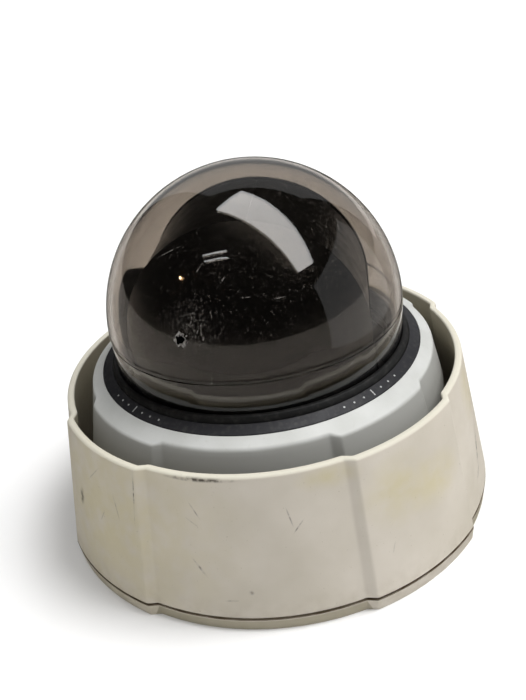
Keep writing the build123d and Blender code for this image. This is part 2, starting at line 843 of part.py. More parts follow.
# Service board under the bezel, on two posts, with its two switches
service_middle = polar(button_circle, button_angle)
service_place = Location((service_middle.X, service_middle.Y, service_board_z), (0, 0, button_angle))
switch_top_z = service_board_z + board_thickness + switch_height
with BuildPart() as service_board:
    with Locations(service_place):
        Box(service_board_width, service_board_length, board_thickness, align=LOW)
    with Locations((0, 0, deck_top_z)):
        for side in (-1, 1):
            with Locations(polar(button_circle, button_angle + side * button_spread / 2)):
                Cylinder(service_post_radius, service_board_z - deck_top_z, align=LOW)
    for turn in button_turns.values():
        with Locations((0, 0, service_board_z + board_thickness)):
            with Locations(polar(button_circle, turn)):
                Box(switch_size, switch_size, switch_height, align=LOW)
service_board.part.label = "service_board"
export_step(service_board.part, "parts/service_board.step")

# The two buttons: each one slides down through the bezel on to its switch
button_low_z = switch_top_z + button_travel
button_top_z = bezel_z + bezel_wall + button_stand
collar_z = bezel_z - button_collar - button_travel
for name, turn in button_turns.items():
    place = polar(button_circle, turn)
    with BuildPart() as button:
        with Locations((place.X, place.Y, button_low_z)):
            Cylinder(button_radius, button_top_z - button_low_z, align=LOW)
        with Locations((place.X, place.Y, collar_z)):
            Cylinder(button_radius + button_collar, button_collar, align=LOW)
        fillet(button.edges().sort_by(Axis.Z)[-1], button_travel)
    button.part.label = name
    export_step(button.part, f"parts/{name}.step")

# Heater: a finned block that keeps the dome clear of frost
with BuildPart() as heater:
    heater_place = polar(heater_circle, heater_angle)
    with Locations(Location((heater_place.X, heater_place.Y, deck_top_z), (0, 0, heater_angle))):
        Box(heater_width, heater_length, heater_base, align=LOW)
        with Locations((0, 0, heater_base)):
            with GridLocations(0, fin_pitch, 1, fin_count):
                Box(heater_width, fin_thickness, fin_height, align=LOW)
heater.part.label = "heater"
export_step(heater.part, "parts/heater.step")

# Fan: a square frame with a spider across its bottom, and a seven-bladed rotor
with BuildPart() as fan_frame:
    with Locations(Location((fan_place.X, fan_place.Y, deck_top_z), (0, 0, fan_angle))):
        Box(fan_size, fan_size, fan_height, align=LOW)
        Cylinder(fan_bore, fan_height, align=LOW, mode=Mode.SUBTRACT)
        for turn in (45, 135):
            Box(2 * fan_bore + 1, fan_spoke, fan_floor, rotation=(0, 0, turn), align=LOW)
        Cylinder(fan_hub, fan_floor, align=LOW)
        Cylinder(fan_pin, fan_height - 2 * fan_floor, align=LOW)
fan_frame.part.label = "fan_frame"
export_step(fan_frame.part, "parts/fan_frame.step")

with BuildPart() as fan_rotor:
    rotor_z = deck_top_z + fan_floor + rotor_lift
    rotor_height = fan_height - fan_floor - 2 * rotor_lift
    with Locations((fan_place.X, fan_place.Y, rotor_z)):
        Cylinder(fan_hub, rotor_height, align=LOW)
        with PolarLocations(0, fan_blades):
            blade_middle = fan_hub + blade_length / 2 - blade_sink
            with Locations((blade_middle, 0, rotor_height / 2)):
                Box(blade_length, blade_thickness, blade_width, rotation=(blade_pitch, 0, 0))
        pin_room = fan_height - 2 * fan_floor
        Cylinder(fan_pin + running_gap, pin_room, align=LOW, mode=Mode.SUBTRACT)
fan_rotor.part.label = "fan_rotor"
export_step(fan_rotor.part, "parts/fan_rotor.step")

# Pan motor: it hangs under the deck, and its shaft runs up through it
pan_motor_z = deck_z - pan_motor_height
with BuildPart() as pan_motor:
    with Locations((pan_motor_place.X, pan_motor_place.Y, pan_motor_z)):
        Cylinder(pan_motor_radius, pan_motor_height, align=LOW)
        Cylinder(
            motor_shaft_radius + running_gap, pan_motor_height, align=LOW, mode=Mode.SUBTRACT
        )
pan_motor.part.label = "pan_motor"
export_step(pan_motor.part, "parts/pan_motor.step")

with BuildPart() as pan_motor_shaft:
    with Locations((pan_motor_place.X, pan_motor_place.Y, pan_motor_z)):
        Cylinder(motor_shaft_radius, pulley_top_z - pan_motor_z, align=LOW)
    with BuildSketch(Plane.XY.offset(pulley_z)) as pinion_face:
        with Locations(pan_motor_place):
            add(toothed(pan_pinion_radius, pan_pinion_teeth))
    extrude(pinion_face.sketch, amount=pulley_height)
pan_motor_shaft.part.label = "pan_motor_shaft"
export_step(pan_motor_shaft.part, "parts/pan_motor_shaft.step")

# Pan bearing: two races and a ring of balls that run in their grooves
ball_circle = (race_inner + race_outer) / 2
ball_z = bearing_z + bearing_height / 2
races = {
    "pan_bearing_inner": (hub_radius + running_gap, race_inner),
    "pan_bearing_outer": (race_outer, bearing_outer),
}
for name, (inside, outside) in races.items():
    with BuildPart() as race:
        with Locations((0, 0, bearing_z)):
            Cylinder(outside, bearing_height, align=LOW)
            Cylinder(inside, bearing_height, align=LOW, mode=Mode.SUBTRACT)
        groove = Torus(ball_circle, ball_radius + running_gap, mode=Mode.PRIVATE)
        add(groove.moved(Location((0, 0, ball_z))), mode=Mode.SUBTRACT)
    race.part.label = name
    export_step(race.part, f"parts/{name}.step")

with BuildPart() as pan_bearing_balls:
    with Locations((0, 0, ball_z)):
        with PolarLocations(ball_circle, ball_count):
            Sphere(ball_radius)
pan_bearing_balls.part.label = "pan_bearing_balls"
export_step(pan_bearing_balls.part, "parts/pan_bearing_balls.step")

# Pan pulley, with the hub that turns in the bearing
hub_low_z = bearing_z - hub_drop
with BuildPart() as pan_pulley:
    with BuildSketch(Plane.XY.offset(pulley_z)) as pulley_face:
        add(toothed(pan_pulley_radius, pan_pulley_teeth))
    extrude(pulley_face.sketch, amount=pulley_height)
    with Locations((0, 0, hub_low_z)):
        Cylinder(hub_radius, pulley_z - hub_low_z, align=LOW)
    with Locations((0, 0, bearing_z + bearing_height)):
        Cylinder(race_inner - shaft_clearance, platform_gap, align=LOW)
    with Locations((0, 0, hub_low_z)):
        Cylinder(hub_bore, pulley_top_z - hub_low_z, align=LOW, mode=Mode.SUBTRACT)
pan_pulley.part.label = "pan_pulley"
export_step(pan_pulley.part, "parts/pan_pulley.step")

# Slip ring: the stator sits in the deck, the spindle hangs from the platform
stator_top_z = hub_low_z - slip_gap
stator_low_z = stator_top_z - stator_height
with BuildPart() as slip_ring_stator:
    with Locations((0, 0, stator_low_z)):
        Cylinder(stator_radius, stator_height, align=LOW)
        Cylinder(stator_radius + stator_flange, deck_z - stator_low_z, align=LOW)
        Cylinder(spindle_radius + running_gap, stator_height, align=LOW, mode=Mode.SUBTRACT)
slip_ring_stator.part.label = "slip_ring_stator"
export_step(slip_ring_stator.part, "parts/slip_ring_stator.step")

with BuildPart() as slip_ring_spindle:
    spindle_low_z = stator_low_z + spindle_drop
    with Locations((0, 0, spindle_low_z)):
        Cylinder(spindle_radius, pulley_top_z - spindle_low_z, align=LOW)
    with Locations((0, 0, pulley_top_z - spindle_flange)):
        Cylinder(hub_bore - shaft_clearance, spindle_flange, align=LOW)
slip_ring_spindle.part.label = "slip_ring_spindle"
export_step(slip_ring_spindle.part, "parts/slip_ring_spindle.step")

# Pan belt, from the pulley to the motor's pinion
with BuildPart() as pan_belt:
    belt_z = pulley_z + (pulley_height - belt_width) / 2
    with BuildSketch(Plane.XY.offset(belt_z)) as pan_band:
        loop = belt_loop(pan_pulley_radius, pan_pinion_radius, pan_drive_distance)
        add(loop, rotation=pan_motor_angle)
    extrude(pan_band.sketch, amount=belt_width)
pan_belt.part.label = "pan_belt"
export_step(pan_belt.part, "parts/pan_belt.step")

# Platform that turns on the pulley
arm_foot_x = arm_outer_x + foot_length / 2
with BuildPart() as pan_platform:
    with Locations((0, 0, pulley_top_z)):
        Cylinder(cover_radius, platform_thickness, align=LOW)
        with GridLocations(2 * arm_foot_x, 2 * foot_screw_spread, 2, 2):
            Cylinder(small_screw_radius, platform_thickness, align=LOW, mode=Mode.SUBTRACT)
pan_platform.part.label = "pan_platform"
export_step(pan_platform.part, "parts/pan_platform.step")

# Yoke arms: one each side, bent out at the foot, with a bush at the tilt axis.
# The right arm carries the tilt motor as well.
arm_height = dome_centre_z - platform_top_z
tilt_motor_z = dome_centre_z - tilt_drive_distance
for name, side in {"left_yoke_arm": -1, "right_yoke_arm": 1}.items():
    inner_face = side * arm_inner_x if side > 0 else side * arm_outer_x
    with BuildPart() as arm:
        with BuildSketch(across(inner_face)) as arm_face:
            with BuildLine():
                Polyline(
                    (arm_height, arm_half_width), (arm_height, -arm_half_width),
                    (0, -arm_top_radius),
                )
                RadiusArc((0, -arm_top_radius), (0, arm_top_radius), -arm_top_radius)
                Line((0, arm_top_radius), (arm_height, arm_half_width))
            make_face()
            Circle(tilt_bearing_radius, mode=Mode.SUBTRACT)
            if side > 0:
                with Locations((tilt_drive_distance, 0)):
                    Circle(tilt_shaft_radius + shaft_clearance, mode=Mode.SUBTRACT)
        extrude(arm_face.sketch, amount=arm_thickness)
        with Locations((side * arm_foot_x, 0, platform_top_z)):
            Box(foot_length, 2 * foot_half_width, arm_thickness, align=LOW)
            with GridLocations(0, 2 * foot_screw_spread, 1, 2):
                Cylinder(
                    small_screw_radius + running_gap, arm_thickness, align=LOW,
                    mode=Mode.SUBTRACT,
                )
    arm.part.label = name
    export_step(arm.part, f"parts/{name}.step")

with BuildPart() as yoke_screws:
    for x in (-arm_foot_x, arm_foot_x):
        for y in (-foot_screw_spread, foot_screw_spread):
            with Locations(Location((x, y, platform_top_z + arm_thickness), (180, 0, 0))):
                screw(
                    small_screw_radius, arm_thickness + platform_thickness, small_screw_head,
                    small_screw_head_height,
                )
yoke_screws.part.label = "yoke_screws"
export_step(yoke_screws.part, "parts/yoke_screws.step")

# Plain bushes in the arms for the tilt axles
with BuildPart() as tilt_bushes:
    for x in (-arm_outer_x, arm_inner_x):
        plug(tilt_bearing_radius, arm_thickness, across(x))
        plug(axle_radius + running_gap, arm_thickness, across(x), mode=Mode.SUBTRACT)
tilt_bushes.part.label = "tilt_bushes"
export_step(tilt_bushes.part, "parts/tilt_bushes.step")

# Covers: two halves of the black ball that hides the yoke, one each side of the
# slot that the camera head swings in
cover_inside = cover_radius - cover_wall
collar_room = axle_collar_radius + shaft_clearance
for name, side in {"left_yoke_cover": -1, "right_yoke_cover": 1}.items():
    with BuildPart() as cover:
        for radius, mode in ((cover_radius, Mode.ADD), (cover_inside, Mode.SUBTRACT)):
            with BuildSketch(Plane.XZ) as cover_section:
                with BuildLine():
                    top = (0, dome_centre_z + radius)
                    corner = (radius, platform_top_z)
                    Line((0, platform_top_z), corner)
                    Line(corner, (radius, dome_centre_z))
                    RadiusArc((radius, dome_centre_z), top, -radius)
                    Line(top, (0, platform_top_z))
                make_face()
            revolve(cover_section.sketch, axis=Axis.Z, mode=mode)
        beyond = 4 * cover_radius
        with Locations((side * (slot_half_width - beyond / 2), 0, dome_centre_z)):
            Box(beyond, beyond, beyond, mode=Mode.SUBTRACT)
        inner_face = side * slot_half_width if side > 0 else -slot_half_width - slot_wall
        wall_plane = across(inner_face)
        with BuildSketch(wall_plane) as wall_face:
            half_chord = sqrt(cover_radius**2 - (slot_half_width + slot_wall) ** 2)
            Circle(half_chord)
            with Locations((arm_height / 2, 0)):
                Rectangle(arm_height, 2 * half_chord)
            Circle(collar_room, mode=Mode.SUBTRACT)
        extrude(wall_face.sketch, amount=slot_wall)
    cover.part.label = name
    export_step(cover.part, f"parts/{name}.step")

# Tilt motor on the right arm, and its shaft with the pinion
with BuildPart() as tilt_motor:
    plug(tilt_motor_radius, tilt_motor_length, across(arm_outer_x, z=tilt_motor_z))
    plug(
        tilt_shaft_radius + running_gap, tilt_motor_length,
        across(arm_outer_x, z=tilt_motor_z), mode=Mode.SUBTRACT,
    )
tilt_motor.part.label = "tilt_motor"
export_step(tilt_motor.part, "parts/tilt_motor.step")

with BuildPart() as tilt_motor_shaft:
    shaft_length = tilt_belt_x + tilt_pulley_width - arm_outer_x
    plug(tilt_shaft_radius, shaft_length, across(arm_outer_x, z=tilt_motor_z))
    with BuildSketch(across(tilt_belt_x, z=tilt_motor_z)) as tilt_pinion_face:
        add(toothed(tilt_pinion_radius, tilt_pinion_teeth))
    extrude(tilt_pinion_face.sketch, amount=tilt_pulley_width)
tilt_motor_shaft.part.label = "tilt_motor_shaft"
export_step(tilt_motor_shaft.part, "parts/tilt_motor_shaft.step")

with BuildPart() as tilt_belt:
    band_x = tilt_belt_x + (tilt_pulley_width - belt_width) / 2
    with BuildSketch(across(band_x)) as tilt_band:
        add(belt_loop(tilt_pulley_radius, tilt_pinion_radius, tilt_drive_distance))
    extrude(tilt_band.sketch, amount=belt_width)
tilt_belt.part.label = "tilt_belt"
export_step(tilt_belt.part, "parts/tilt_belt.step")

with BuildPart() as tilt_pulley:
    with BuildSketch(across(tilt_belt_x)) as tilt_pulley_face:
        add(toothed(tilt_pulley_radius, tilt_pulley_teeth))
        Circle(axle_radius + fit_gap / 2, mode=Mode.SUBTRACT)
    extrude(tilt_pulley_face.sketch, amount=tilt_pulley_width)
tilt_pulley.part.label = "tilt_pulley"
export_step(tilt_pulley.part, "parts/tilt_pulley.step")

# Tilt axles: each one has a collar that is screwed to the head's side wall
with BuildPart() as left_tilt_axle:
    plug(axle_collar_radius, axle_collar, across(-head_half_width - axle_collar))
    axle_tip = arm_outer_x + axle_end
    plug(axle_radius, axle_tip - head_half_width, across(-axle_tip))
left_tilt_axle.part.label = "left_tilt_axle"
export_step(left_tilt_axle.part, "parts/left_tilt_axle.step")

with BuildPart() as right_tilt_axle:
    plug(axle_collar_radius, axle_collar, across(head_half_width))
    axle_length = tilt_belt_x + tilt_pulley_width - head_half_width
    plug(axle_radius, axle_length, across(head_half_width))
right_tilt_axle.part.label = "right_tilt_axle"
export_step(right_tilt_axle.part, "parts/right_tilt_axle.step")

# Head: a drum across the slot with a snout for the lens. It parts behind the
# tilt axis into a front and a rear shell.
head_inside = head_radius - head_wall
head_box = 2 * head_radius + 1
for name, side in {"head_front": -1, "head_rear": 1}.items():
    with BuildPart() as shell:
        plug(head_radius, 2 * head_half_width, across(-head_half_width))
        drum_edges = shell.edges().filter_by(GeomType.CIRCLE)
        fillet(drum_edges, head_wall)
        if side < 0:
            plug(snout_radius, snout_front - head_split_y, ahead(-head_split_y))
        inner_half_width = head_half_width - head_wall
        plug(head_inside, 2 * inner_half_width, across(-inner_half_width), mode=Mode.SUBTRACT)
        if side < 0:
            plug(
                snout_radius - snout_wall, snout_front, ahead(0), mode=Mode.SUBTRACT
            )
        edge_y = head_split_y + side * head_split_gap / 2
        with Locations((0, edge_y - side * head_box / 2, dome_centre_z)):
            Box(head_box, head_box, head_box, mode=Mode.SUBTRACT)
    shell.part.label = name
    export_step(shell.part, f"parts/{name}.step")

# Lens barrel: a tube on a square plate that is screwed inside the front shell
barrel_inside = barrel_radius - barrel_wall
barrel_back = -barrel_plate_y
board_back = barrel_back - barrel_plate
with BuildPart() as lens_barrel:
    plug(barrel_radius, barrel_front - barrel_back, ahead(-barrel_back))
    plug(barrel_inside, barrel_front - barrel_back, ahead(-barrel_back), mode=Mode.SUBTRACT)
    inner_half_width = head_half_width - head_wall
    plate_width = 2 * (inner_half_width - fit_gap)
    plate(plate_width, barrel_plate_height, barrel_plate, ahead(-board_back))
    plug(light_hole, barrel_plate, ahead(-board_back), mode=Mode.SUBTRACT)
    post_spread = sensor_board_size / 2 - sensor_post_inset
    for x in (-post_spread, post_spread):
        for z in (dome_centre_z - post_spread, dome_centre_z + post_spread):
            plug(sensor_post_radius, board_back, ahead(0, x, z))
lens_barrel.part.label = "lens_barrel"
export_step(lens_barrel.part, "parts/lens_barrel.step")


def lens(radius, edge, bulge, front, seat=0.0):
    """Round lens that looks along -Y, domed front and back, with a flat seat round it."""
    optic = radius - seat
    curve = (optic**2 + bulge**2) / (2 * bulge)
    with BuildSketch(Plane.XY.offset(dome_centre_z)) as section:
        with BuildLine():
            tip = (0, -front - bulge)
            back = (0, edge + bulge - front)
            RadiusArc(tip, (optic, -front), -curve)
            if seat:
                Line((optic, -front), (radius, -front))
                Line((radius, edge - front), (optic, edge - front))
            Line((radius, -front), (radius, edge - front))
            RadiusArc((optic, edge - front), back, -curve)
            Line(back, tip)
        make_face()
    revolve(section.sketch, axis=Axis((0, 0, dome_centre_z), (0, 1, 0)))


# Front lens, and the threaded ring that holds it in the barrel
lens_rim_y = barrel_front - front_lens_setback - front_lens_bulge
with BuildPart() as front_lens:
    seat = barrel_wall + fit_gap
    lens(barrel_inside - fit_gap, front_lens_edge, front_lens_bulge, lens_rim_y, seat)
front_lens.part.label = "front_lens"
export_step(front_lens.part, "parts/front_lens.step")

with BuildPart() as lens_ring:
    ring_length = barrel_front - lens_rim_y
    plug(barrel_inside - fit_gap, ring_length, ahead(-lens_rim_y))
    with BuildSketch(ahead(-lens_rim_y)) as ring_hole:
        Circle(barrel_inside - barrel_wall)
    extrude(ring_hole.sketch, amount=ring_length, mode=Mode.SUBTRACT)
lens_ring.part.label = "lens_ring"
export_step(lens_ring.part, "parts/lens_ring.step")

# Guide rods that both lens carriers slide on
rod_front = lens_rim_y - front_lens_edge - front_lens_bulge - rod_end_gap
with BuildPart() as guide_rods:
    for x in (-rod_circle, rod_circle):
        plug(rod_radius, rod_front - barrel_back, ahead(-barrel_back, x))
guide_rods.part.label = "guide_rods"
export_step(guide_rods.part, "parts/guide_rods.step")

# Zoom and focus carriers, each with its lens
zoom_front = barrel_front - zoom_start
iris_front = zoom_front - carrier_length - zoom_travel - group_gap
focus_front = iris_front - 2 * iris_blade - iris_gap - group_gap - focus_travel / 2
for name, front in {"zoom": zoom_front, "focus": focus_front}.items():
    with BuildPart() as carrier:
        plug(carrier_radius, carrier_length, ahead(-front + carrier_length))
        plug(
            group_lens_radius + fit_gap, carrier_length, ahead(-front + carrier_length),
            mode=Mode.SUBTRACT,
        )
        for x in (-rod_circle, rod_circle):
            plug(
                rod_radius + running_gap, carrier_length, ahead(-front + carrier_length, x),
                mode=Mode.SUBTRACT,
            )
    carrier.part.label = f"{name}_carrier"
    export_step(carrier.part, f"parts/{name}_carrier.step")
    with BuildPart() as carried_lens:
        lens(group_lens_radius, carrier_length - 2 * lens_inset, lens_bulge, front - lens_inset)
    carried_lens.part.label = f"{name}_lens"
    export_step(carried_lens.part, f"parts/{name}_lens.step")

# Iris: two notched blades that slide apart, up and down
blade_fronts = {
    "upper_iris_blade": iris_front,
    "lower_iris_blade": iris_front - iris_blade - iris_gap,
}
for name, front in blade_fronts.items():
    way = 1 if name == "upper_iris_blade" else -1
    with BuildPart() as blade:
        with BuildSketch(ahead(-front + iris_blade)) as blade_face:
            Circle(iris_height)
            with Locations((0, way * iris_height / 2)):
                Rectangle(2 * iris_half_width, iris_height, mode=Mode.INTERSECT)
            Circle(iris_notch, mode=Mode.SUBTRACT)
        extrude(blade_face.sketch, amount=iris_blade)
    blade.part.label = name
    export_step(blade.part, f"parts/{name}.step")

# Infrared cut filter, which slides out of the light's path at night
filter_front = board_back - iris_gap
with BuildPart() as ir_cut_filter:
    plate(filter_size, filter_size, filter_thickness, ahead(-filter_front + filter_thickness))
ir_cut_filter.part.label = "ir_cut_filter"
export_step(ir_cut_filter.part, "parts/ir_cut_filter.step")

# Sensor board behind the barrel's plate, with the image sensor soldered to it
with BuildPart() as sensor_board:
    plate(sensor_board_size, sensor_board_size, board_thickness, ahead(board_thickness))
    plate(sensor_width, sensor_height, sensor_thickness, ahead(0))
sensor_board.part.label = "sensor_board"
export_step(sensor_board.part, "parts/sensor_board.step")
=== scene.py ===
import json
import math
import bmesh
import bpy
from mathutils import Matrix, Vector


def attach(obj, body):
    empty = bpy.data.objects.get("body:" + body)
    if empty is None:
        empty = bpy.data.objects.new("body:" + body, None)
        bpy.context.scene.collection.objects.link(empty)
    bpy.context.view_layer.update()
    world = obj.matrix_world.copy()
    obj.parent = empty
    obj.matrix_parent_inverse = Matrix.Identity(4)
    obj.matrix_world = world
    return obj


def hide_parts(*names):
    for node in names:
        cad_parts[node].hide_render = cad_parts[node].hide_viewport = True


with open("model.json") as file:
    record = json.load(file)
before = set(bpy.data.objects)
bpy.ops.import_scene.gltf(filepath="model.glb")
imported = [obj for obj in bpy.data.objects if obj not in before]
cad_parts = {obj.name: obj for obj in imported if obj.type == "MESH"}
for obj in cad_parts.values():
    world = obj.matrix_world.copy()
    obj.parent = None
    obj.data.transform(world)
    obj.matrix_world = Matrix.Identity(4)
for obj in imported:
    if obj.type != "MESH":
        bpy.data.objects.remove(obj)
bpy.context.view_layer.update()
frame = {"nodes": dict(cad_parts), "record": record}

# ---------------------------------------------------------------- camera and light
# The camera looks down on the dome and is rolled a little. The dome mirrors a soft panel, two
# lamp tubes, a warm bulb and two pale cards, and nothing else is lit by them. Suns as wide as
# soft boxes light everything matt, most of all from the right, and the dome doesn't mirror them.
VIEW_TURN = math.radians(99.24)
VIEW_RISE = math.radians(29.4)
VIEW_ROLL = math.radians(-8.09)
VIEW_DISTANCE = 0.4933
VIEW_TARGET_HEIGHT = 0.0841
VIEW_TARGET_RIGHT = 0.001
DOME_MIDDLE = Vector((0, 0, 0.11))
PANEL_HEIGHT = 1.11

turn_sin, turn_cos = math.sin(VIEW_TURN), math.cos(VIEW_TURN)
view_right = Vector((turn_cos, turn_sin, 0))
view_near = Vector((turn_sin, -turn_cos, 0))
view_back = view_near * math.cos(VIEW_RISE) + Vector((0, 0, math.sin(VIEW_RISE)))
view_up = view_back.cross(view_right)
rolled_right = view_right * math.cos(VIEW_ROLL) + view_up * math.sin(VIEW_ROLL)
rolled_up = view_up * math.cos(VIEW_ROLL) - view_right * math.sin(VIEW_ROLL)
target = view_right * VIEW_TARGET_RIGHT + Vector((0, 0, VIEW_TARGET_HEIGHT))

camera_data = bpy.data.cameras.new("camera")
camera_data.lens = 48.7
camera_data.sensor_width = 36.0
camera = bpy.data.objects.new("camera", camera_data)
axes = Matrix((rolled_right, rolled_up, view_back)).transposed().to_4x4()
camera.matrix_world = Matrix.Translation(target + view_back * VIEW_DISTANCE) @ axes
bpy.context.scene.collection.objects.link(camera)
bpy.context.scene.camera = camera


def from_view(right, near, up):
    """Point given by metres to the camera's right, towards it, and up."""
    return view_right * right + view_near * near + Vector((0, 0, up))


def lamp(name, kind, place, aim, power, sees_gloss, sees_matt):
    """Light that faces a point, and is either mirrored or lights matt surfaces, or both."""
    data = bpy.data.lights.new(name, kind)
    data.energy = power
    light = bpy.data.objects.new(name, data)
    facing = (aim - place).to_track_quat("-Z", "Y").to_matrix().to_4x4()
    light.matrix_world = Matrix.Translation(place) @ facing
    light.visible_glossy = sees_gloss
    light.visible_diffuse = sees_matt
    bpy.context.scene.collection.objects.link(light)
    return light


def ceiling_panel(name, right, near, length, width, turn, radiance):
    """Flat panel above the dome that is seen only as a reflection."""
    place = from_view(right, near, PANEL_HEIGHT)
    light = lamp(name, "AREA", place, place - Vector((0, 0, 1)), radiance, True, False)
    light.data.shape = "RECTANGLE"
    light.data.size, light.data.size_y = length, width
    light.data.energy = radiance * math.pi * length * width
    heading = VIEW_TURN + math.radians(turn)
    light.matrix_world = Matrix.Translation(place) @ Matrix.Rotation(heading, 4, "Z")


ceiling_panel("softbox", 0.456, 0.148, 1.62, 0.4, -45.3, 4.6)
ceiling_panel("tube_one", -0.425, 0.342, 0.36, 0.02, -10.5, 7.0)
ceiling_panel("tube_two", -0.425, 0.447, 0.36, 0.02, -10.5, 7.0)


def wall_card(name, place, aim, width, height, radiance):
    """Upright pale card that the dome mirrors and that lights nothing else."""
    card = lamp(name, "AREA", place, aim, radiance * math.pi * width * height, True, False)
    card.visible_transmission = False
    card.data.shape = "RECTANGLE"
    card.data.size, card.data.size_y = width, height


wall_card("side_card", from_view(1.35, 0.2, 0.2), from_view(0, 0.2, 0.2), 1.8, 1.5, 0.4)
wall_card("back_card", from_view(0.4, -1.3, 1.05), from_view(0.4, 0, 1.05), 2.0, 2.0, 0.4)
bulb = lamp("bulb", "AREA", from_view(-1.07, 0.39, 0.97), DOME_MIDDLE, 0.3, True, False)
bulb.data.size = 0.035
bulb.data.color = (1.0, 0.66, 0.36)

# Suns: name, the place they shine from, power and width in degrees.
SUNS = [
    ("sky_light", from_view(0.5, -0.05, 1.0), 2.4, 28),
    ("left_light", from_view(-0.35, 0.1, 1.2), 0.45, 40),
    ("right_light", from_view(1.2, 0.25, 0.9), 0.6, 50),
    ("fill_light", from_view(0, 0, 1), 0.9, 170),
]
for name, place, power, spread in SUNS:
    sun = lamp(name, "SUN", place, Vector(), power, False, True)
    sun.data.angle = math.radians(spread)
    sun.visible_transmission = False

world = bpy.data.worlds.new("studio")
world.use_nodes = True
world.node_tree.nodes["Background"].inputs["Color"].default_value = (1, 1, 1, 1)
world.node_tree.nodes["Background"].inputs["Strength"].default_value = 0.06
world.cycles_visibility.glossy = False
bpy.context.scene.world = world
bpy.context.scene.view_settings.view_transform = "Standard"

# ---------------------------------------------------------------- floor
# The stage: a large sheet of matt white paper to stand on, a lit white backdrop that closes the
# view behind it, and a small painted table top that shows only as a reflection in the dome.
MM = 0.001
FLOOR_HALF = 6
BACKDROP_RADIUS = 8
TABLE_HALF = 0.34

# Settings of a Mix node that lays a second colour over the first one, where a mask has it.
COVER = {"out": 2, "data_type": "RGBA"}


def linear(code):
    """Linear RGBA from an sRGB hex code such as 'c8bfae'."""
    parts = [int(code[k:k + 2], 16) / 255 for k in (0, 2, 4)]
    return [p / 12.92 if p <= 0.04045 else ((p + 0.055) / 1.055) ** 2.4 for p in parts] + [1]


def add(material, kind, sockets=None, out=0, **settings):
    """Adds a node with its settings, sets or links its inputs, and gives one output."""
    made = material.node_tree.nodes.new("ShaderNode" + kind)
    for name, value in settings.items():
        setattr(made, name, value)
    for name, value in (sockets or {}).items():
        if isinstance(value, bpy.types.NodeSocket):
            material.node_tree.links.new(value, made.inputs[name])
        elif isinstance(value, str):
            made.inputs[name].default_value = linear(value)
        else:
            made.inputs[name].default_value = value
    return made.outputs[out] if made.outputs else None


def finish(name, sockets):
    """Material with one surface shader. A socket takes a value, or a function that draws it."""
    material = bpy.data.materials.new(name)
    material.use_nodes = True
    material.node_tree.nodes.clear()
    ready = {}
    for socket, value in sockets.items():
        ready[socket] = value(material) if callable(value) else value
    surface = add(material, "BsdfPrincipled", ready)
    add(material, "OutputMaterial", {"Surface": surface})
    return material


def piece(name, bm, material, body, replaced=()):
    """Object from a bmesh, riding on a body and standing for the CAD nodes it replaces."""
    mesh = bpy.data.meshes.new(name)
    bm.to_mesh(mesh)
    bm.free()
    mesh.materials.append(material)
    made = bpy.data.objects.new(name, mesh)
    bpy.context.scene.collection.objects.link(made)
    if body:
        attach(made, body)
    if replaced:
        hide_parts(*replaced)
    return made


# White paper: bright and quite matt, so it takes the soft shadow and no shine.
paper = finish("white_paper", {"Base Color": linear("f4f4f4"), "Roughness": 0.9})
floor_mesh = bmesh.new()
bmesh.ops.create_grid(floor_mesh, x_segments=1, y_segments=1, size=FLOOR_HALF)
floor = piece("floor", floor_mesh, paper, None)
floor.visible_glossy = False

# Lit white backdrop: flat white with no shading. Only the camera sees it.
backdrop_paint = finish(
    "white_backdrop",
    {"Base Color": linear("000000"), "Emission Color": linear("ffffff"), "Emission Strength": 1.0,
     "Specular IOR Level": 0.0},
)
backdrop_mesh = bmesh.new()
bmesh.ops.create_icosphere(backdrop_mesh, subdivisions=4, radius=BACKDROP_RADIUS)
bmesh.ops.reverse_faces(backdrop_mesh, faces=backdrop_mesh.faces[:])
backdrop = piece("backdrop", backdrop_mesh, backdrop_paint, None)
for way in ("diffuse", "glossy", "transmission", "shadow", "volume_scatter"):
    setattr(backdrop, "visible_" + way, False)

# Grey table paint: dull and mid grey. The dome mirrors it in place of the paper.
table_paint = finish("grey_table_paint", {"Base Color": linear("8a8a88"), "Roughness": 0.8})
table_mesh = bmesh.new()
bmesh.ops.create_grid(table_mesh, x_segments=1, y_segments=1, size=TABLE_HALF)
table = piece("table", table_mesh, table_paint, None)
table.location = (0, 0, -MM)
for way in ("camera", "diffuse", "transmission", "shadow", "volume_scatter"):
    setattr(table, "visible_" + way, False)

# ---------------------------------------------------------------- weather shield
# An open lobed cone that keeps sun and rain off the housing, moulded in one in cream plastic,
# with a fine grain from the mould. Dirt sits at its foot and in its seam, the weather has stained
# it, and handling has scuffed it. Its colour also holds a painted highlight along the rim's top
# and painted shade on the inside of the wall, below the rim.
LOBE_ANGLE = 36.0
LOBE_STEP = 2.8
RAMP_WIDTH = 4.4
RAMP_ROUND = 0.6
SPIN_STEPS = 1440
ROUND_STEPS = 720
SEAM_Z = 7.2
RIM_Z = 80.0
BASE_RADIUS = 113.25
RIM_RADIUS = 102.25
SHIELD_WALL = 3.6
HOLD = 0.4  # mm from a corner to the loop that keeps the wall beside it flat
SHARP = math.radians(35)
FRONT = math.radians(9.24)  # round Z from X to the side that is worn most
GRIME_TOP_Z = 20
GRIME_FULL_Z = 6
SEAM_LINE_Z = 7.0
SEAM_LINE_HALF = 0.9
# Where the painted highlight on the rim's top starts and is full, and where the painted shade
# inside the wall is full.
RIM_HIGHLIGHT_FOOT_Z = 78.9
RIM_LIT_Z = 79.4
INSIDE_SHADE_FULL_Z = 78.4


def shade(bm):
    """Smooth shading, outward normals, and a hard edge at each real corner."""
    bmesh.ops.recalc_face_normals(bm, faces=bm.faces[:])
    for face in bm.faces:
        face.smooth = True
    for edge in bm.edges:
        edge.smooth = edge.calc_face_angle(0) < SHARP


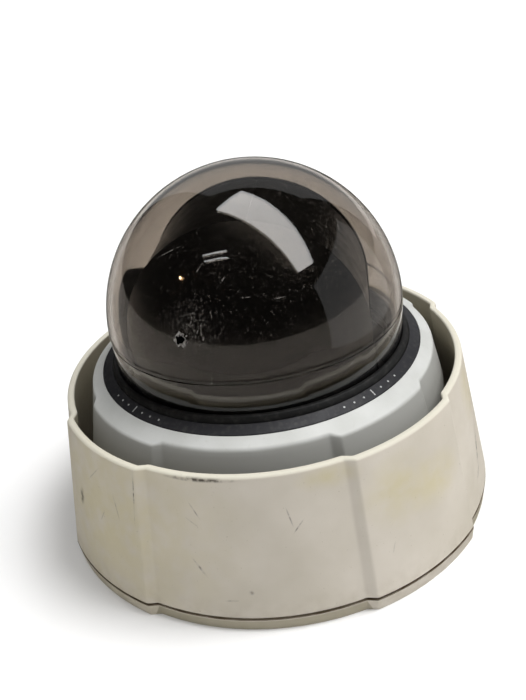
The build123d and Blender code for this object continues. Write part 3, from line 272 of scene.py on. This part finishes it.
def spun(corners, steps=SPIN_STEPS):
    """Ring turned about Z from (radius, height, rounding) corners in mm."""
    bm = bmesh.new()
    verts = [bm.verts.new((radius * MM, 0, height * MM)) for radius, height, _ in corners]
    bm.faces.new(verts)
    for vert, (_, _, rounding) in zip(verts, corners):
        if rounding:
            bmesh.ops.bevel(
                bm, geom=[vert], offset=rounding * MM, offset_type="OFFSET", segments=4,
                profile=0.5, affect="VERTICES", material=-1,
            )
    bmesh.ops.delete(bm, geom=bm.faces[:], context="FACES_ONLY")
    for edge in [edge for edge in bm.edges if edge.calc_length() > 3 * HOLD * MM]:
        share = HOLD * MM / edge.calc_length()
        first, second = edge.verts
        far_edge, _ = bmesh.utils.edge_split(edge, first, share)
        near_edge = next(e for e in second.link_edges if e in (edge, far_edge))
        bmesh.utils.edge_split(near_edge, second, share / (1 - share))
    outline = bm.verts[:] + bm.edges[:]
    bmesh.ops.spin(
        bm, geom=outline, cent=(0, 0, 0), axis=(0, 0, 1), angle=math.tau, steps=steps,
        use_merge=True,
    )
    bmesh.ops.remove_doubles(bm, verts=bm.verts[:], dist=1e-6)
    shade(bm)
    return bm


def lobe(angle, radius):
    """How far a lobed wall stands out at an angle, in mm: a ramp with eased corners."""
    off_centre = abs((math.degrees(angle)) % 90 - 45)
    along = math.radians(LOBE_ANGLE / 2 - off_centre) * radius
    total = 0.0
    for shift in (-2, -1, 0, 1, 2):
        total += min(max((along + shift * RAMP_ROUND / 2) / RAMP_WIDTH + 0.5, 0), 1)
    return LOBE_STEP * total / 5


def add_lobes(bm, inside=0.0, outside=1.0, drop=0.0, drop_from=1000.0):
    """Moves a round wall out to its lobes. It stays round within the inside radius, and
    what is above a height also comes down by a share, to stay on a slope."""
    for vert in bm.verts:
        radius = math.hypot(vert.co.x, vert.co.y) / MM
        angle = math.atan2(vert.co.y, vert.co.x)
        share = min(max((radius - inside) / (outside - inside), 0), 1)
        step = lobe(angle, radius) * share
        vert.co.x += step * MM * math.cos(angle)
        vert.co.y += step * MM * math.sin(angle)
        if vert.co.z > drop_from * MM:
            vert.co.z -= step * drop * MM


def cloud(material, size_mm, low=0.0, high=1.0, to_low=0.0, to_high=1.0, detail=3.0):
    """Uneven pattern with blots about a size in mm across, cut off at two levels."""
    place = add(material, "TexCoord", out="Object")
    spread = {"Vector": place, "Scale": 1 / (size_mm * MM), "Detail": detail}
    blots = add(material, "TexNoise", spread)
    return add(material, "MapRange", {"Value": blots, 1: low, 2: high, 3: to_low, 4: to_high})


def spot(material, place, size, turn=(0, 0, 0), soft=0.5):
    """Soft-edged ellipsoid about a point, as a mask from 1 inside to 0 outside."""
    moved = add(
        material, "Mapping",
        {"Vector": add(material, "TexCoord", out="Object"), "Location": place,
         "Rotation": turn, "Scale": [s * MM for s in size]},
        vector_type="TEXTURE",
    )
    reach = add(material, "VectorMath", {0: moved}, out="Value", operation="LENGTH")
    return add(material, "MapRange", {"Value": reach, 1: 1 + soft, 2: 1 - soft})


def grained(size_mm, depth_mm, strength):
    """Surface relief with grains of a size and a depth in mm."""
    def relief(material):
        return add(
            material, "Bump",
            {"Height": cloud(material, size_mm, detail=2.0), "Strength": strength,
             "Distance": depth_mm * MM},
        )
    return relief


def worn(low, high, size_mm=5.0):
    """Roughness that wanders between two values."""
    return lambda material: cloud(material, size_mm, 0.3, 0.7, low, high)


def wall_point(right_angle, height):
    """Point on the shield's outside, at an angle round from the front, in degrees."""
    angle = FRONT + math.radians(right_angle)
    share = (height - SEAM_Z) / (RIM_Z - SEAM_Z)
    radius = BASE_RADIUS + (RIM_RADIUS - BASE_RADIUS) * share
    radius += lobe(angle, radius)
    return Vector((radius * MM * math.cos(angle), radius * MM * math.sin(angle), height * MM))


# Scuffs: angle round from the front and height, half length along the wall and half
# width, lean and strength, in degrees and mm.
SCUFFS = [
    (-19.5, 78.6, 13.0, 0.8, 0, 0.95), (-38.3, 65.0, 13.0, 0.3, 86, 0.95),
    (-22, 63.0, 3.4, 0.3, -60, 0.6), (-23, 57.0, 2.6, 0.3, -35, 0.6),
    (1.2, 58.5, 3.6, 0.3, -78, 0.6), (2.9, 53.0, 3.4, 0.3, 50, 0.7),
    (-22, 33.0, 4.2, 0.5, -55, 0.9), (-10.2, 21.5, 1.0, 0.9, 0, 0.6),
    (-15, 17.0, 2.4, 0.4, 5, 0.7), (-45, 55.0, 5.0, 0.3, -75, 0.45),
    (-51, 46.0, 3.0, 0.3, 60, 0.4), (-54, 66.0, 6.0, 0.25, 45, 0.4),
    (-62, 46.0, 3.8, 1.8, 80, 0.8), (69, 33.0, 8.0, 1.2, 62, 0.8),
    (66, 22.0, 4.0, 0.9, 30, 0.6), (25, 30.0, 2.2, 0.3, 70, 0.4),
    (120, 60.0, 7.0, 0.35, 20, 0.6), (165, 40.0, 4.0, 0.5, -40, 0.6),
    (205, 70.0, 5.0, 0.4, 10, 0.6), (240, 28.0, 6.0, 0.4, 75, 0.6),
]
# Stains: angle round from the front, height, half width and half height.
STAINS = [
    (29, 57.0, 13.0, 12.0), (12, 74.0, 10.0, 4.0), (41, 50.0, 12.0, 9.0), (72, 66.0, 10.0, 12.0),
    (-50, 48.0, 48.0, 44.0), (150, 50.0, 16.0, 20.0),
]
SCUFF_DEPTH = 2.5


def shield_colour(material):
    """Cream, with stains, grime at the foot, a clean rim with a painted highlight, a dirty seam,
    specks, scuffs and painted shade inside.
    """
    tone = cloud(material, 34, 0.35, 0.7)
    colour = add(material, "Mix", {0: tone, 6: "d3cbbe", 7: "c7bfb0"}, **COVER)
    for angle, height, wide, tall in STAINS:
        mask = spot(material, wall_point(angle, height), (wide, wide, tall), soft=0.7)
        uneven = cloud(material, 9, 0.25, 0.6, 0.1, 0.6)
        blot = add(material, "Math", {0: mask, 1: uneven}, operation="MULTIPLY")
        colour = add(material, "Mix", {0: blot, 6: colour, 7: "c8bd92"}, **COVER)
    place = add(material, "TexCoord", out="Object")
    level = add(material, "SeparateXYZ", {0: place}, out="Z")
    low = add(material, "MapRange", {"Value": level, 1: GRIME_TOP_Z * MM, 2: GRIME_FULL_Z * MM})
    smears = cloud(material, 6, 0.4, 0.75, 0, 0.3)
    grime = add(material, "Math", {0: low, 1: smears}, operation="MULTIPLY")
    colour = add(material, "Mix", {0: grime, 6: colour, 7: "9c9078"}, **COVER)
    # The rim's top turns lighter: a painted highlight along it, on a rim that is also cleaner than
    # the wall.
    edge = {"Value": level, 1: RIM_HIGHLIGHT_FOOT_Z * MM, 2: RIM_LIT_Z * MM, 4: 0.8}
    rim = add(material, "MapRange", edge)
    colour = add(material, "Mix", {0: rim, 6: colour, 7: "dad6c6"}, **COVER)
    near = {0: level, 1: SEAM_LINE_Z * MM, 2: SEAM_LINE_HALF * MM}
    line = add(material, "Math", near, operation="COMPARE")
    filled = cloud(material, 8, 0.2, 0.6, 0.6, 1.0)
    seam = add(material, "Math", {0: line, 1: filled}, operation="MULTIPLY")
    colour = add(material, "Mix", {0: seam, 6: colour, 7: "5b4c38"}, **COVER)
    specks = cloud(material, 1.1, 0.72, 0.78, 0, 0.5, 2.0)
    colour = add(material, "Mix", {0: specks, 6: colour, 7: "8f8468"}, **COVER)
    for angle, height, reach, wide, lean, strength in SCUFFS:
        heading = FRONT + math.radians(angle)
        mask = spot(
            material, wall_point(angle, height), (SCUFF_DEPTH, reach, wide),
            (math.radians(lean), 0, heading), 0.6,
        )
        patchy = cloud(material, 2.6, 0.4, 0.6, 0.15, strength)
        scuff = add(material, "Math", {0: mask, 1: patchy}, operation="MULTIPLY")
        colour = add(material, "Mix", {0: scuff, 6: colour, 7: "4f483c"}, **COVER)
    # The inside of the wall is told from the outside by its distance from the cone's middle.
    flat = add(material, "VectorMath", {0: place, 1: (1, 1, 0)}, operation="MULTIPLY")
    radius = add(material, "VectorMath", {0: flat}, out="Value", operation="LENGTH")
    slope = (BASE_RADIUS - RIM_RADIUS) / (RIM_Z - SEAM_Z)
    wall = add(material, "Math", {0: level, 1: slope, 2: radius}, operation="MULTIPLY_ADD")
    middle = (BASE_RADIUS + SEAM_Z * slope - 0.4) * MM
    edges = {"Value": wall, 1: middle + 0.1 * MM, 2: middle - 0.1 * MM}
    inside = add(material, "MapRange", edges)
    # Below the rim the inside of the wall turns grey-beige: painted shade of the gap behind the
    # wall.
    depth = {"Value": level, 1: RIM_LIT_Z * MM, 2: INSIDE_SHADE_FULL_Z * MM, 4: 0.75}
    below = add(material, "MapRange", depth)
    inside_shade = add(material, "Math", {0: inside, 1: below}, operation="MULTIPLY")
    return add(material, "Mix", {0: inside_shade, 6: colour, 7: "a29a82"}, **COVER)


def shield_grain(material):
    """A fine moulded grain on top of faint waves left by the mould."""
    grain = cloud(material, 0.9, detail=2.0)
    waves = cloud(material, 22, detail=1.0)
    height = add(material, "Math", {0: waves, 1: 3.0, 2: grain}, operation="MULTIPLY_ADD")
    return add(material, "Bump", {"Height": height, "Strength": 0.25, "Distance": 0.12 * MM})


# ASA, the plastic of outdoor covers: an even cream with a soft, broad sheen, duller where the
# weather has bitten it.
shield_plastic = finish(
    "moulded_asa_plastic",
    {"Base Color": shield_colour, "Roughness": worn(0.42, 0.58), "IOR": 1.52,
     "Normal": shield_grain},
)
shield_bm = spun(
    [
        (BASE_RADIUS, SEAM_Z, 0.7), (RIM_RADIUS, RIM_Z, 1.3),
        (RIM_RADIUS - SHIELD_WALL, RIM_Z, 1.0), (BASE_RADIUS - SHIELD_WALL, SEAM_Z, 0.3),
    ]
)
add_lobes(shield_bm)
BOSS_CIRCLE = 108.65
BOSS_RADIUS = 4.5
BOSS_HEIGHT = 16
for turn in (45, 135, 225, 315):
    angle = math.radians(turn)
    centre = Vector((math.cos(angle) * BOSS_CIRCLE, math.sin(angle) * BOSS_CIRCLE, 0))
    centre.z = SEAM_Z + BOSS_HEIGHT / 2
    bmesh.ops.create_cone(
        shield_bm, cap_ends=True, segments=32, radius1=BOSS_RADIUS * MM,
        radius2=BOSS_RADIUS * MM, depth=BOSS_HEIGHT * MM,
        matrix=Matrix.Translation(centre * MM),
    )
piece("shield", shield_bm, shield_plastic, "base", ["weather_shield"])

# ---------------------------------------------------------------- dome ring
# The lobed ring that clamps the dome to the housing, die cast in aluminium and powder coated
# white. Its broad face slopes down from the trim ring, and its side goes down into the gap
# behind the shield.
FACE_INNER = 82.05
FACE_Z = 84.8
RING_JOINT_Z = 62.0
RING_RADIUS = 88.05
RING_BASE_RADIUS = 92.9
FACE_SLOPE = math.tan(math.radians(27.5))
LEDGE_Z = 83.0
RING_HOLE = 72.0
RING_UNDERSIDE_Z = 79.0
RING_BORE = 84.0
RING_FOOT_INNER = 89.4
LOBE_START = 83.0
LOBE_FULL = 86.0
LOBE_TOP_Z = FACE_Z - 1.5


def face_height(radius):
    """Height in mm of the sloping face at a radius."""
    return FACE_Z + (RING_RADIUS - radius) * FACE_SLOPE


coat_peel = grained(1.4, 0.08, 0.2)  # the coat's orange peel


def ring_colour(material):
    """White, a little greyer on the side that faces the shield as painted shade, with rubbed
    specks.
    """
    tone = cloud(material, 18, 0.35, 0.7)
    colour = add(material, "Mix", {0: tone, 6: "cccdca", 7: "c2c3bf"}, **COVER)
    place = add(material, "TexCoord", out="Object")
    level = add(material, "SeparateXYZ", {0: place}, out="Z")
    # Below the face's edge the side turns grey: painted shade on the side that goes down into the
    # gap.
    side_shade_ramp = {"Value": level, 1: (FACE_Z - 0.9) * MM, 2: (FACE_Z - 2) * MM, 4: 0.9}
    side_shade = add(material, "MapRange", side_shade_ramp)
    colour = add(material, "Mix", {0: side_shade, 6: colour, 7: "aeaeaa"}, **COVER)
    specks = cloud(material, 2, 0.6, 0.8, 0, 0.2, 4.0)
    return add(material, "Mix", {0: specks, 6: colour, 7: "a9a69c"}, **COVER)


# Powder coat on cast aluminium: white with no metal showing, a soft gloss, and an orange peel
# that breaks it up.
powder_coat = finish(
    "white_powder_coat",
    {"Base Color": ring_colour, "Roughness": worn(0.36, 0.52, 7), "Normal": coat_peel},
)
ring_bm = spun(
    [
        (RING_BASE_RADIUS, RING_JOINT_Z, 0.3), (RING_RADIUS, FACE_Z, 0.9),
        (FACE_INNER, face_height(FACE_INNER), 0.4), (FACE_INNER, LEDGE_Z, 0),
        (RING_HOLE, LEDGE_Z, 0), (RING_HOLE, RING_UNDERSIDE_Z, 0),
        (RING_BORE, RING_UNDERSIDE_Z, 0), (RING_FOOT_INNER, RING_JOINT_Z, 0),
    ]
)
add_lobes(ring_bm, LOBE_START, LOBE_FULL, FACE_SLOPE, LOBE_TOP_Z)
piece("dome_ring_coated", ring_bm, powder_coat, "base", ["dome_ring"])

# ---------------------------------------------------------------- trim ring
# The black satin ring that covers the dome's flange, moulded in plastic. It slopes up to the
# dome in line with the white face, with a fine texture from the mould and a little dust.
TRIM_INNER = 76.65
TRIM_OUTER = 81.95
TRIM_FOOT_INNER = 79.6
TRIM_FOOT_Z = 84.4
FLANGE_TOP_Z = 87.0


satin_grain = grained(0.7, 0.05, 0.3)


def black_colour(material):
    """Black, with pale grey blots of dust."""
    dust = cloud(material, 2.2, 0.5, 0.85, 0, 0.5, 4.0)
    return add(material, "Mix", {0: dust, 6: "242428", 7: "4e4d49"}, **COVER)


# ABS with a fine satin texture: black with a faint blue cast and a broad grey sheen.
satin_black = finish(
    "satin_black_abs",
    {"Base Color": black_colour, "Roughness": worn(0.42, 0.56, 4), "Normal": satin_grain},
)
trim_bm = spun(
    [
        (TRIM_OUTER, face_height(TRIM_OUTER), 0.5), (TRIM_INNER, face_height(TRIM_INNER), 0.5),
        (TRIM_INNER, FLANGE_TOP_Z, 0), (TRIM_FOOT_INNER, FLANGE_TOP_Z, 0),
        (TRIM_FOOT_INNER, TRIM_FOOT_Z, 0), (TRIM_OUTER, TRIM_FOOT_Z, 0),
    ],
    ROUND_STEPS,
)
piece("trim_ring_satin", trim_bm, satin_black, "base", ["trim_ring"])

# ---------------------------------------------------------------- index marks
# White dots and a dash, pad printed on the trim ring in four groups, near the middle of each
# large lobe. The ink is a thin flat film, partly rubbed off.
MARK_RADIUS = 79.4
MARK_TURN = 46.7
DOT_RADIUS = 0.5
DOT_PITCH = math.radians(4.1)
DASH_LENGTH = 3.5
DASH_WIDTH = 0.6
PAINT_LIFT = 0.06


def print_colour(material):
    """White that has worn through to grey in places."""
    wear = cloud(material, 0.8, 0.35, 0.65, 0, 0.7)
    return add(material, "Mix", {0: wear, 6: "c4c6c4", 7: "6a6a69"}, **COVER)


# Pad-printed ink: a thin, flat, matt white.
white_print = finish("white_pad_print", {"Base Color": print_colour, "Roughness": 0.5})
marks_bm = bmesh.new()
slope = Matrix.Rotation(math.atan(FACE_SLOPE), 4, "Y")
mark_place = Vector((MARK_RADIUS, 0, face_height(MARK_RADIUS) + PAINT_LIFT)) * MM
for quarter in range(4):
    for count in range(-3, 4):
        angle = math.radians(MARK_TURN + 90 * quarter) + count * DOT_PITCH
        place = Matrix.Rotation(angle, 4, "Z") @ Matrix.Translation(mark_place) @ slope
        if count:
            bmesh.ops.create_circle(
                marks_bm, cap_ends=True, segments=16, radius=DOT_RADIUS * MM, matrix=place
            )
        else:
            dash = place @ Matrix.Diagonal((DASH_LENGTH / 2, DASH_WIDTH / 2, 1, 1))
            bmesh.ops.create_grid(marks_bm, x_segments=1, y_segments=1, size=MM, matrix=dash)
piece("index_marks", marks_bm, white_print, "base")

# ---------------------------------------------------------------- rubber lip
# A soft black lip, moulded as a ring and squeezed between the dome's skirt and the trim ring,
# where it keeps water out. Its rubber has a dull bloom.
LIP_TOP_Z = 93.7
LIP_SHOULDER_Z = 91.6
LIP_OUTER = 76.5
LIP_TOP_OUTER = 75.5
LIP_TOP_INNER = 73.55
LIP_INNER = 73.1


def rubber_colour(material):
    """Black with a grey bloom."""
    bloom = cloud(material, 3, 0.5, 0.8, 0, 0.6, 4.0)
    return add(material, "Mix", {0: bloom, 6: "141414", 7: "3a3936"}, **COVER)


# EPDM rubber: a deep black that is dull and slightly grainy.
rubber = finish(
    "black_epdm_rubber",
    {"Base Color": rubber_colour, "Roughness": 0.62, "Normal": satin_grain},
)
lip_bm = spun(
    [
        (LIP_INNER, FLANGE_TOP_Z, 0), (LIP_OUTER, FLANGE_TOP_Z, 0),
        (LIP_OUTER, LIP_SHOULDER_Z, 0.6), (LIP_TOP_OUTER, LIP_TOP_Z, 0.6),
        (LIP_TOP_INNER, LIP_TOP_Z, 0.3),
    ],
    ROUND_STEPS,
)
piece("dome_lip_rubber", lip_bm, rubber, "base", ["dome_lip"])

# ---------------------------------------------------------------- dome
# Half a ball of smoked polycarbonate on a short skirt, moulded in one, with the mould's
# parting line at the equator. It is polished, but dusty, scratched, and chipped in one place.
DOME_RADIUS = 74.5
DOME_WALL = 3.0
EQUATOR_Z = 110.0
SKIRT_TAPER = 1.6
FLANGE_RADIUS = 79.5
DOME_BASE_Z = 84.0
ARC_STEPS = 64
SPIN_COUNT = 360
CHIP_TURN = -28.7
CHIP_RISE = 15.9
CHIP_HOLE = 2.6
CHIP_EDGE = 2.95
HAZE_REACH = 8.0
SCRATCH_DEPTH = 1.5
SCRATCH_HALF = 0.14
FLECK_PITCH = 4
LINE_DROP = 0.35
LINE_HALF = 0.16
# The groove's outline below the equator, as (how far in, how far down).
GROOVE = [(0.35, 0.3), (0.06, 0.75)]


def dome_point(right_angle, rise):
    """Point on the dome's outside, by degrees round from the front and up."""
    angle = FRONT + math.radians(right_angle)
    level = DOME_RADIUS * MM * math.cos(math.radians(rise))
    height = EQUATOR_Z * MM + DOME_RADIUS * MM * math.sin(math.radians(rise))
    return Vector((level * math.cos(angle), level * math.sin(angle), height))


chip = dome_point(CHIP_TURN, CHIP_RISE)


def ragged_spot(material, place, reach, wobble, soft):
    """Mask of a spot in mm whose edge wanders in and out."""
    torn = cloud(material, 1.3, 0.3, 0.7, -wobble, wobble, 4.0)
    mask = spot(material, place, (reach, reach, reach), soft=1.0)
    total = add(material, "Math", {0: mask, 1: torn}, operation="ADD")
    return add(material, "MapRange", {"Value": total, 1: 0.5 - soft, 2: 0.5 + soft})


# Scratches: degrees round from the front and up, half length in mm, and lean.
SCRATCHES = [
    (-39.1, 0.6, 4.5, 35), (-37.5, -0.2, 3.0, 10), (-18.2, 1.6, 2.2, 80), (-41, 45, 6.0, 35),
    (-22, 41, 3.5, 60), (33, -3.0, 3.0, 15), (52, 44.0, 4.0, 50), (-3, 30.0, 2.0, 0),
    (-21.0, 20.5, 5.0, 60), (-20.0, 18.0, 4.0, 100), (-24.0, 24.0, 3.5, 80), (10, 28, 2.2, 0),
    (-12, 36, 2.6, 55), (140, 30, 6, 40), (200, 12, 5, 20), (250, 50, 7, 70),
]


def wear_mask(material):
    """1 on dust, on scratches and on the chip's broken edge."""
    place = add(material, "TexCoord", out="Object")
    cells = add(material, "TexVoronoi", {"Vector": place, "Scale": 1 / (FLECK_PITCH * MM)})
    flecks = add(material, "MapRange", {"Value": cells, 1: 0.06, 2: 0.03, 4: 0.7})
    drifts = cloud(material, 12, 0.56, 0.66, detail=4.0)
    total = add(material, "Math", {0: flecks, 1: drifts}, operation="MULTIPLY")
    for turn, rise, reach, lean in SCRATCHES:
        heading = FRONT + math.radians(turn)
        mask = spot(
            material, dome_point(turn, rise), (SCRATCH_DEPTH, reach, SCRATCH_HALF),
            (math.radians(lean), math.radians(-rise), heading), 0.4,
        )
        breaks = cloud(material, 1.4, 0.42, 0.6, 0.0, 0.55)
        scratch = add(material, "Math", {0: mask, 1: breaks}, operation="MULTIPLY")
        total = add(material, "Math", {0: total, 1: scratch}, operation="MAXIMUM")
    edge = ragged_spot(material, chip, CHIP_EDGE, 0.2, 0.05)
    beside = dome_point(CHIP_TURN + 5, CHIP_RISE + 4)
    crazed = ragged_spot(material, beside, HAZE_REACH, 0.6, 0.35)
    cracks = cloud(material, 1.1, 0.5, 0.75, 0.0, 0.35, 5.0)
    haze = add(material, "Math", {0: crazed, 1: cracks}, operation="MULTIPLY")
    broken = add(material, "Math", {0: edge, 1: haze}, operation="MAXIMUM")
    return add(material, "Math", {0: broken, 1: total}, operation="MAXIMUM")


def chip_hole(material):
    """1 where the chip goes right through the wall."""
    return ragged_spot(material, chip, CHIP_HOLE, 0.2, 0.05)


def parting_line(material):
    """The fine groove round the equator, dark with grime."""
    place = add(material, "TexCoord", out="Object")
    level = add(material, "SeparateXYZ", {0: place}, out="Z")
    line = {0: level, 1: (EQUATOR_Z - LINE_DROP) * MM, 2: LINE_HALF * MM}
    return add(material, "Math", line, operation="COMPARE")


def dome_clear(material):
    """How much light the wall lets through: wear, the hole and the line are opaque."""
    worn_through = {0: wear_mask(material), 1: chip_hole(material)}
    solid = add(material, "Math", worn_through, operation="MAXIMUM")
    solid = add(material, "Math", {0: solid, 1: parting_line(material)}, operation="MAXIMUM")
    return add(material, "Math", {0: 1.0, 1: solid}, operation="SUBTRACT")


def dome_colour(material):
    """Grey-brown smoke, pale on wear, black in the line, and black in the hole as painted shade.
    """
    colour = add(material, "Mix", {0: wear_mask(material), 6: "c2bab1", 7: "bfbdb8"}, **COVER)
    colour = add(material, "Mix", {0: parting_line(material), 6: colour, 7: "080808"}, **COVER)
    # The hole is an opaque black patch: painted shade of the dark inside that shows through it.
    return add(material, "Mix", {0: chip_hole(material), 6: colour, 7: "030303"}, **COVER)


# Smoked polycarbonate: a clear plastic with a brown-grey smoke in it. Its hard polish mirrors
# the room, and the wall looks darker than it is where the light goes through it twice.
smoked_pc = finish(
    "smoked_polycarbonate",
    {"Base Color": dome_colour, "Roughness": worn(0.012, 0.045, 9), "IOR": 1.585,
     "Transmission Weight": dome_clear},
)
dome_bm = bmesh.new()
skirt_radius = DOME_RADIUS - SKIRT_TAPER
inside = DOME_RADIUS - DOME_WALL
outline = []
for k in range(ARC_STEPS + 1):
    angle = math.radians(90 - 90 * k / ARC_STEPS)
    outline.append((DOME_RADIUS * math.cos(angle), EQUATOR_Z + DOME_RADIUS * math.sin(angle)))
outline += [(DOME_RADIUS - inward, EQUATOR_Z - down) for inward, down in GROOVE]
outline += [
    (skirt_radius, FLANGE_TOP_Z), (FLANGE_RADIUS, FLANGE_TOP_Z), (FLANGE_RADIUS, DOME_BASE_Z),
    (skirt_radius - DOME_WALL, DOME_BASE_Z), (skirt_radius - DOME_WALL, FLANGE_TOP_Z),
]
for k in range(ARC_STEPS + 1):
    angle = math.radians(90 * k / ARC_STEPS)
    outline.append((inside * math.cos(angle), EQUATOR_Z + inside * math.sin(angle)))
dome_verts = [dome_bm.verts.new((radius * MM, 0, height * MM)) for radius, height in outline]
dome_edges = [dome_bm.edges.new(pair) for pair in zip(dome_verts, dome_verts[1:])]
bmesh.ops.spin(
    dome_bm, geom=dome_verts + dome_edges, cent=(0, 0, 0), axis=(0, 0, 1), angle=math.tau,
    steps=SPIN_COUNT, use_merge=True,
)
bmesh.ops.remove_doubles(dome_bm, verts=dome_bm.verts[:], dist=1e-5)
shade(dome_bm)
piece("dome_smoked", dome_bm, smoked_pc, "base", ["dome_cover"])

# ---------------------------------------------------------------- pieces that keep their CAD shape
# The mounting cap, the castings, the drives, the boards, the camera head and the screws. Their
# shapes are plain or hidden, and each takes the finish of its material slot.


def cast_colour(material):
    """Grey paint with darker clouds where it has been handled."""
    tone = cloud(material, 8, 0.3, 0.7)
    return add(material, "Mix", {0: tone, 6: "8b8b88", 7: "7a7a77"}, **COVER)


def shroud_colour(material):
    """Near black with a little dust."""
    dust = cloud(material, 4, 0.5, 0.8, 0, 0.5, 4.0)
    return add(material, "Mix", {0: dust, 6: "060606", 7: "161615"}, **COVER)


def board_colour(material):
    """Green mask that is lighter where copper lies under it."""
    copper = cloud(material, 1.6, 0.5, 0.54, 0, 0.8, 0.0)
    return add(material, "Mix", {0: copper, 6: "1c4a2c", 7: "2c6a3f"}, **COVER)


# Wet paint on cast aluminium: an even mid grey, soft in its shine, over the casting's grain.
cast_paint = finish(
    "grey_cast_paint",
    {"Base Color": cast_colour, "Roughness": worn(0.45, 0.6), "Normal": grained(1.0, 0.1, 0.35)},
)
# Black polycarbonate of the shroud in the dome: it swallows light, with a dim sheen.
shroud_black = finish(
    "shroud_black_pc",
    {"Base Color": shroud_colour, "Roughness": worn(0.28, 0.42, 6), "Normal": satin_grain},
)
# Solder mask on a glass-fibre board: a glossy deep green, rippled over the tracks.
solder_mask = finish(
    "green_solder_mask",
    {"Base Color": board_colour, "Roughness": worn(0.25, 0.38, 3),
     "Normal": grained(1.6, 0.05, 0.4)},
)
# Coated lens glass: clear, very smooth, with a violet tint in its reflections.
lens_glass = finish(
    "coated_optical_glass",
    {"Base Color": linear("dfe6ff"), "Roughness": 0.02, "Transmission Weight": 1.0, "IOR": 1.6,
     "Coat Weight": 0.6, "Coat Tint": linear("b07cff")},
)
slots = {
    "shield_paint": shield_plastic, "ring_paint": powder_coat, "cast_housing": cast_paint,
    "gasket_rubber": rubber, "smoked_dome": smoked_pc, "black_trim": satin_black,
    "black_plastic": shroud_black, "circuit_board": solder_mask, "optical_glass": lens_glass,
}
# Slot: material, colour, roughness and the size of its grain in mm.
METALS = {
    # Screws with a zinc plate: a pale, faintly blue grey, half bright.
    "screw_steel": ("zinc_plated_steel", "b9babb", 0.35, 2.0),
    # Zinc-dipped sheet: a duller grey with large soft spangles.
    "sheet_steel": ("galvanised_sheet", "a9abac", 0.42, 7.0),
    # Ground motor casings: a darker grey with a fine grain.
    "motor_steel": ("ground_steel", "8e8f91", 0.3, 0.8),
    # Races and balls: almost a mirror.
    "bearing_steel": ("polished_bearing_steel", "c8c9ca", 0.12, 4.0),
    # Turned and extruded aluminium: a light, even, satin grey.
    "machined_aluminium": ("extruded_aluminium", "b5b6b8", 0.38, 1.2),
    # Oil-filled bronze bushes: brown-gold and dull, with pores.
    "bush_bronze": ("sintered_bronze", "9a7340", 0.45, 0.6),
    # Lens tubes: a black anodised skin that still shines as metal at a slant.
    "lens_aluminium": ("black_anodised_aluminium", "18181a", 0.35, 0.8),
    # Iris blades: blackened steel with hardly any shine.
    "blade_steel": ("blackened_steel", "1b1b1c", 0.5, 2.0),
}
PLASTICS = {
    # Socket body: black with a dry sheen.
    "socket_plastic": ("black_pbt", "161616", 0.45, 1.0),
    # Buttons: plain mid grey, slightly soft in its shine.
    "button_plastic": ("grey_abs", "8d8d8c", 0.45, 0.8),
    # Pulleys and carriers: the milky white of undyed acetal.
    "drive_plastic": ("natural_acetal", "dcd8cb", 0.4, 2.0),
    # Toothed belts: matt black rubber.
    "belt_rubber": ("neoprene_belt", "161616", 0.7, 0.9),
}
for family, metallic in ((METALS, 1.0), (PLASTICS, 0.0)):
    for slot, (name, code, rough, size) in family.items():
        def handled(material, code=code, size=size):
            """The piece's own colour, with faint darker blots from handling and oil."""
            blots = cloud(material, 4 * size, 0.45, 0.8, 0, 0.25)
            return add(material, "Mix", {0: blots, 6: code, 7: "3c3a35"}, **COVER)
        slots[slot] = finish(
            name,
            {"Base Color": handled, "Metallic": metallic,
             "Roughness": worn(rough - 0.06, rough + 0.08, size),
             "Normal": grained(size, 0.02, 0.3)},
        )
for entry in frame["record"]["subparts"]:
    node = frame["nodes"][entry["node"]]
    node.data.materials.clear()
    node.data.materials.append(slots[entry["material_slot"]])
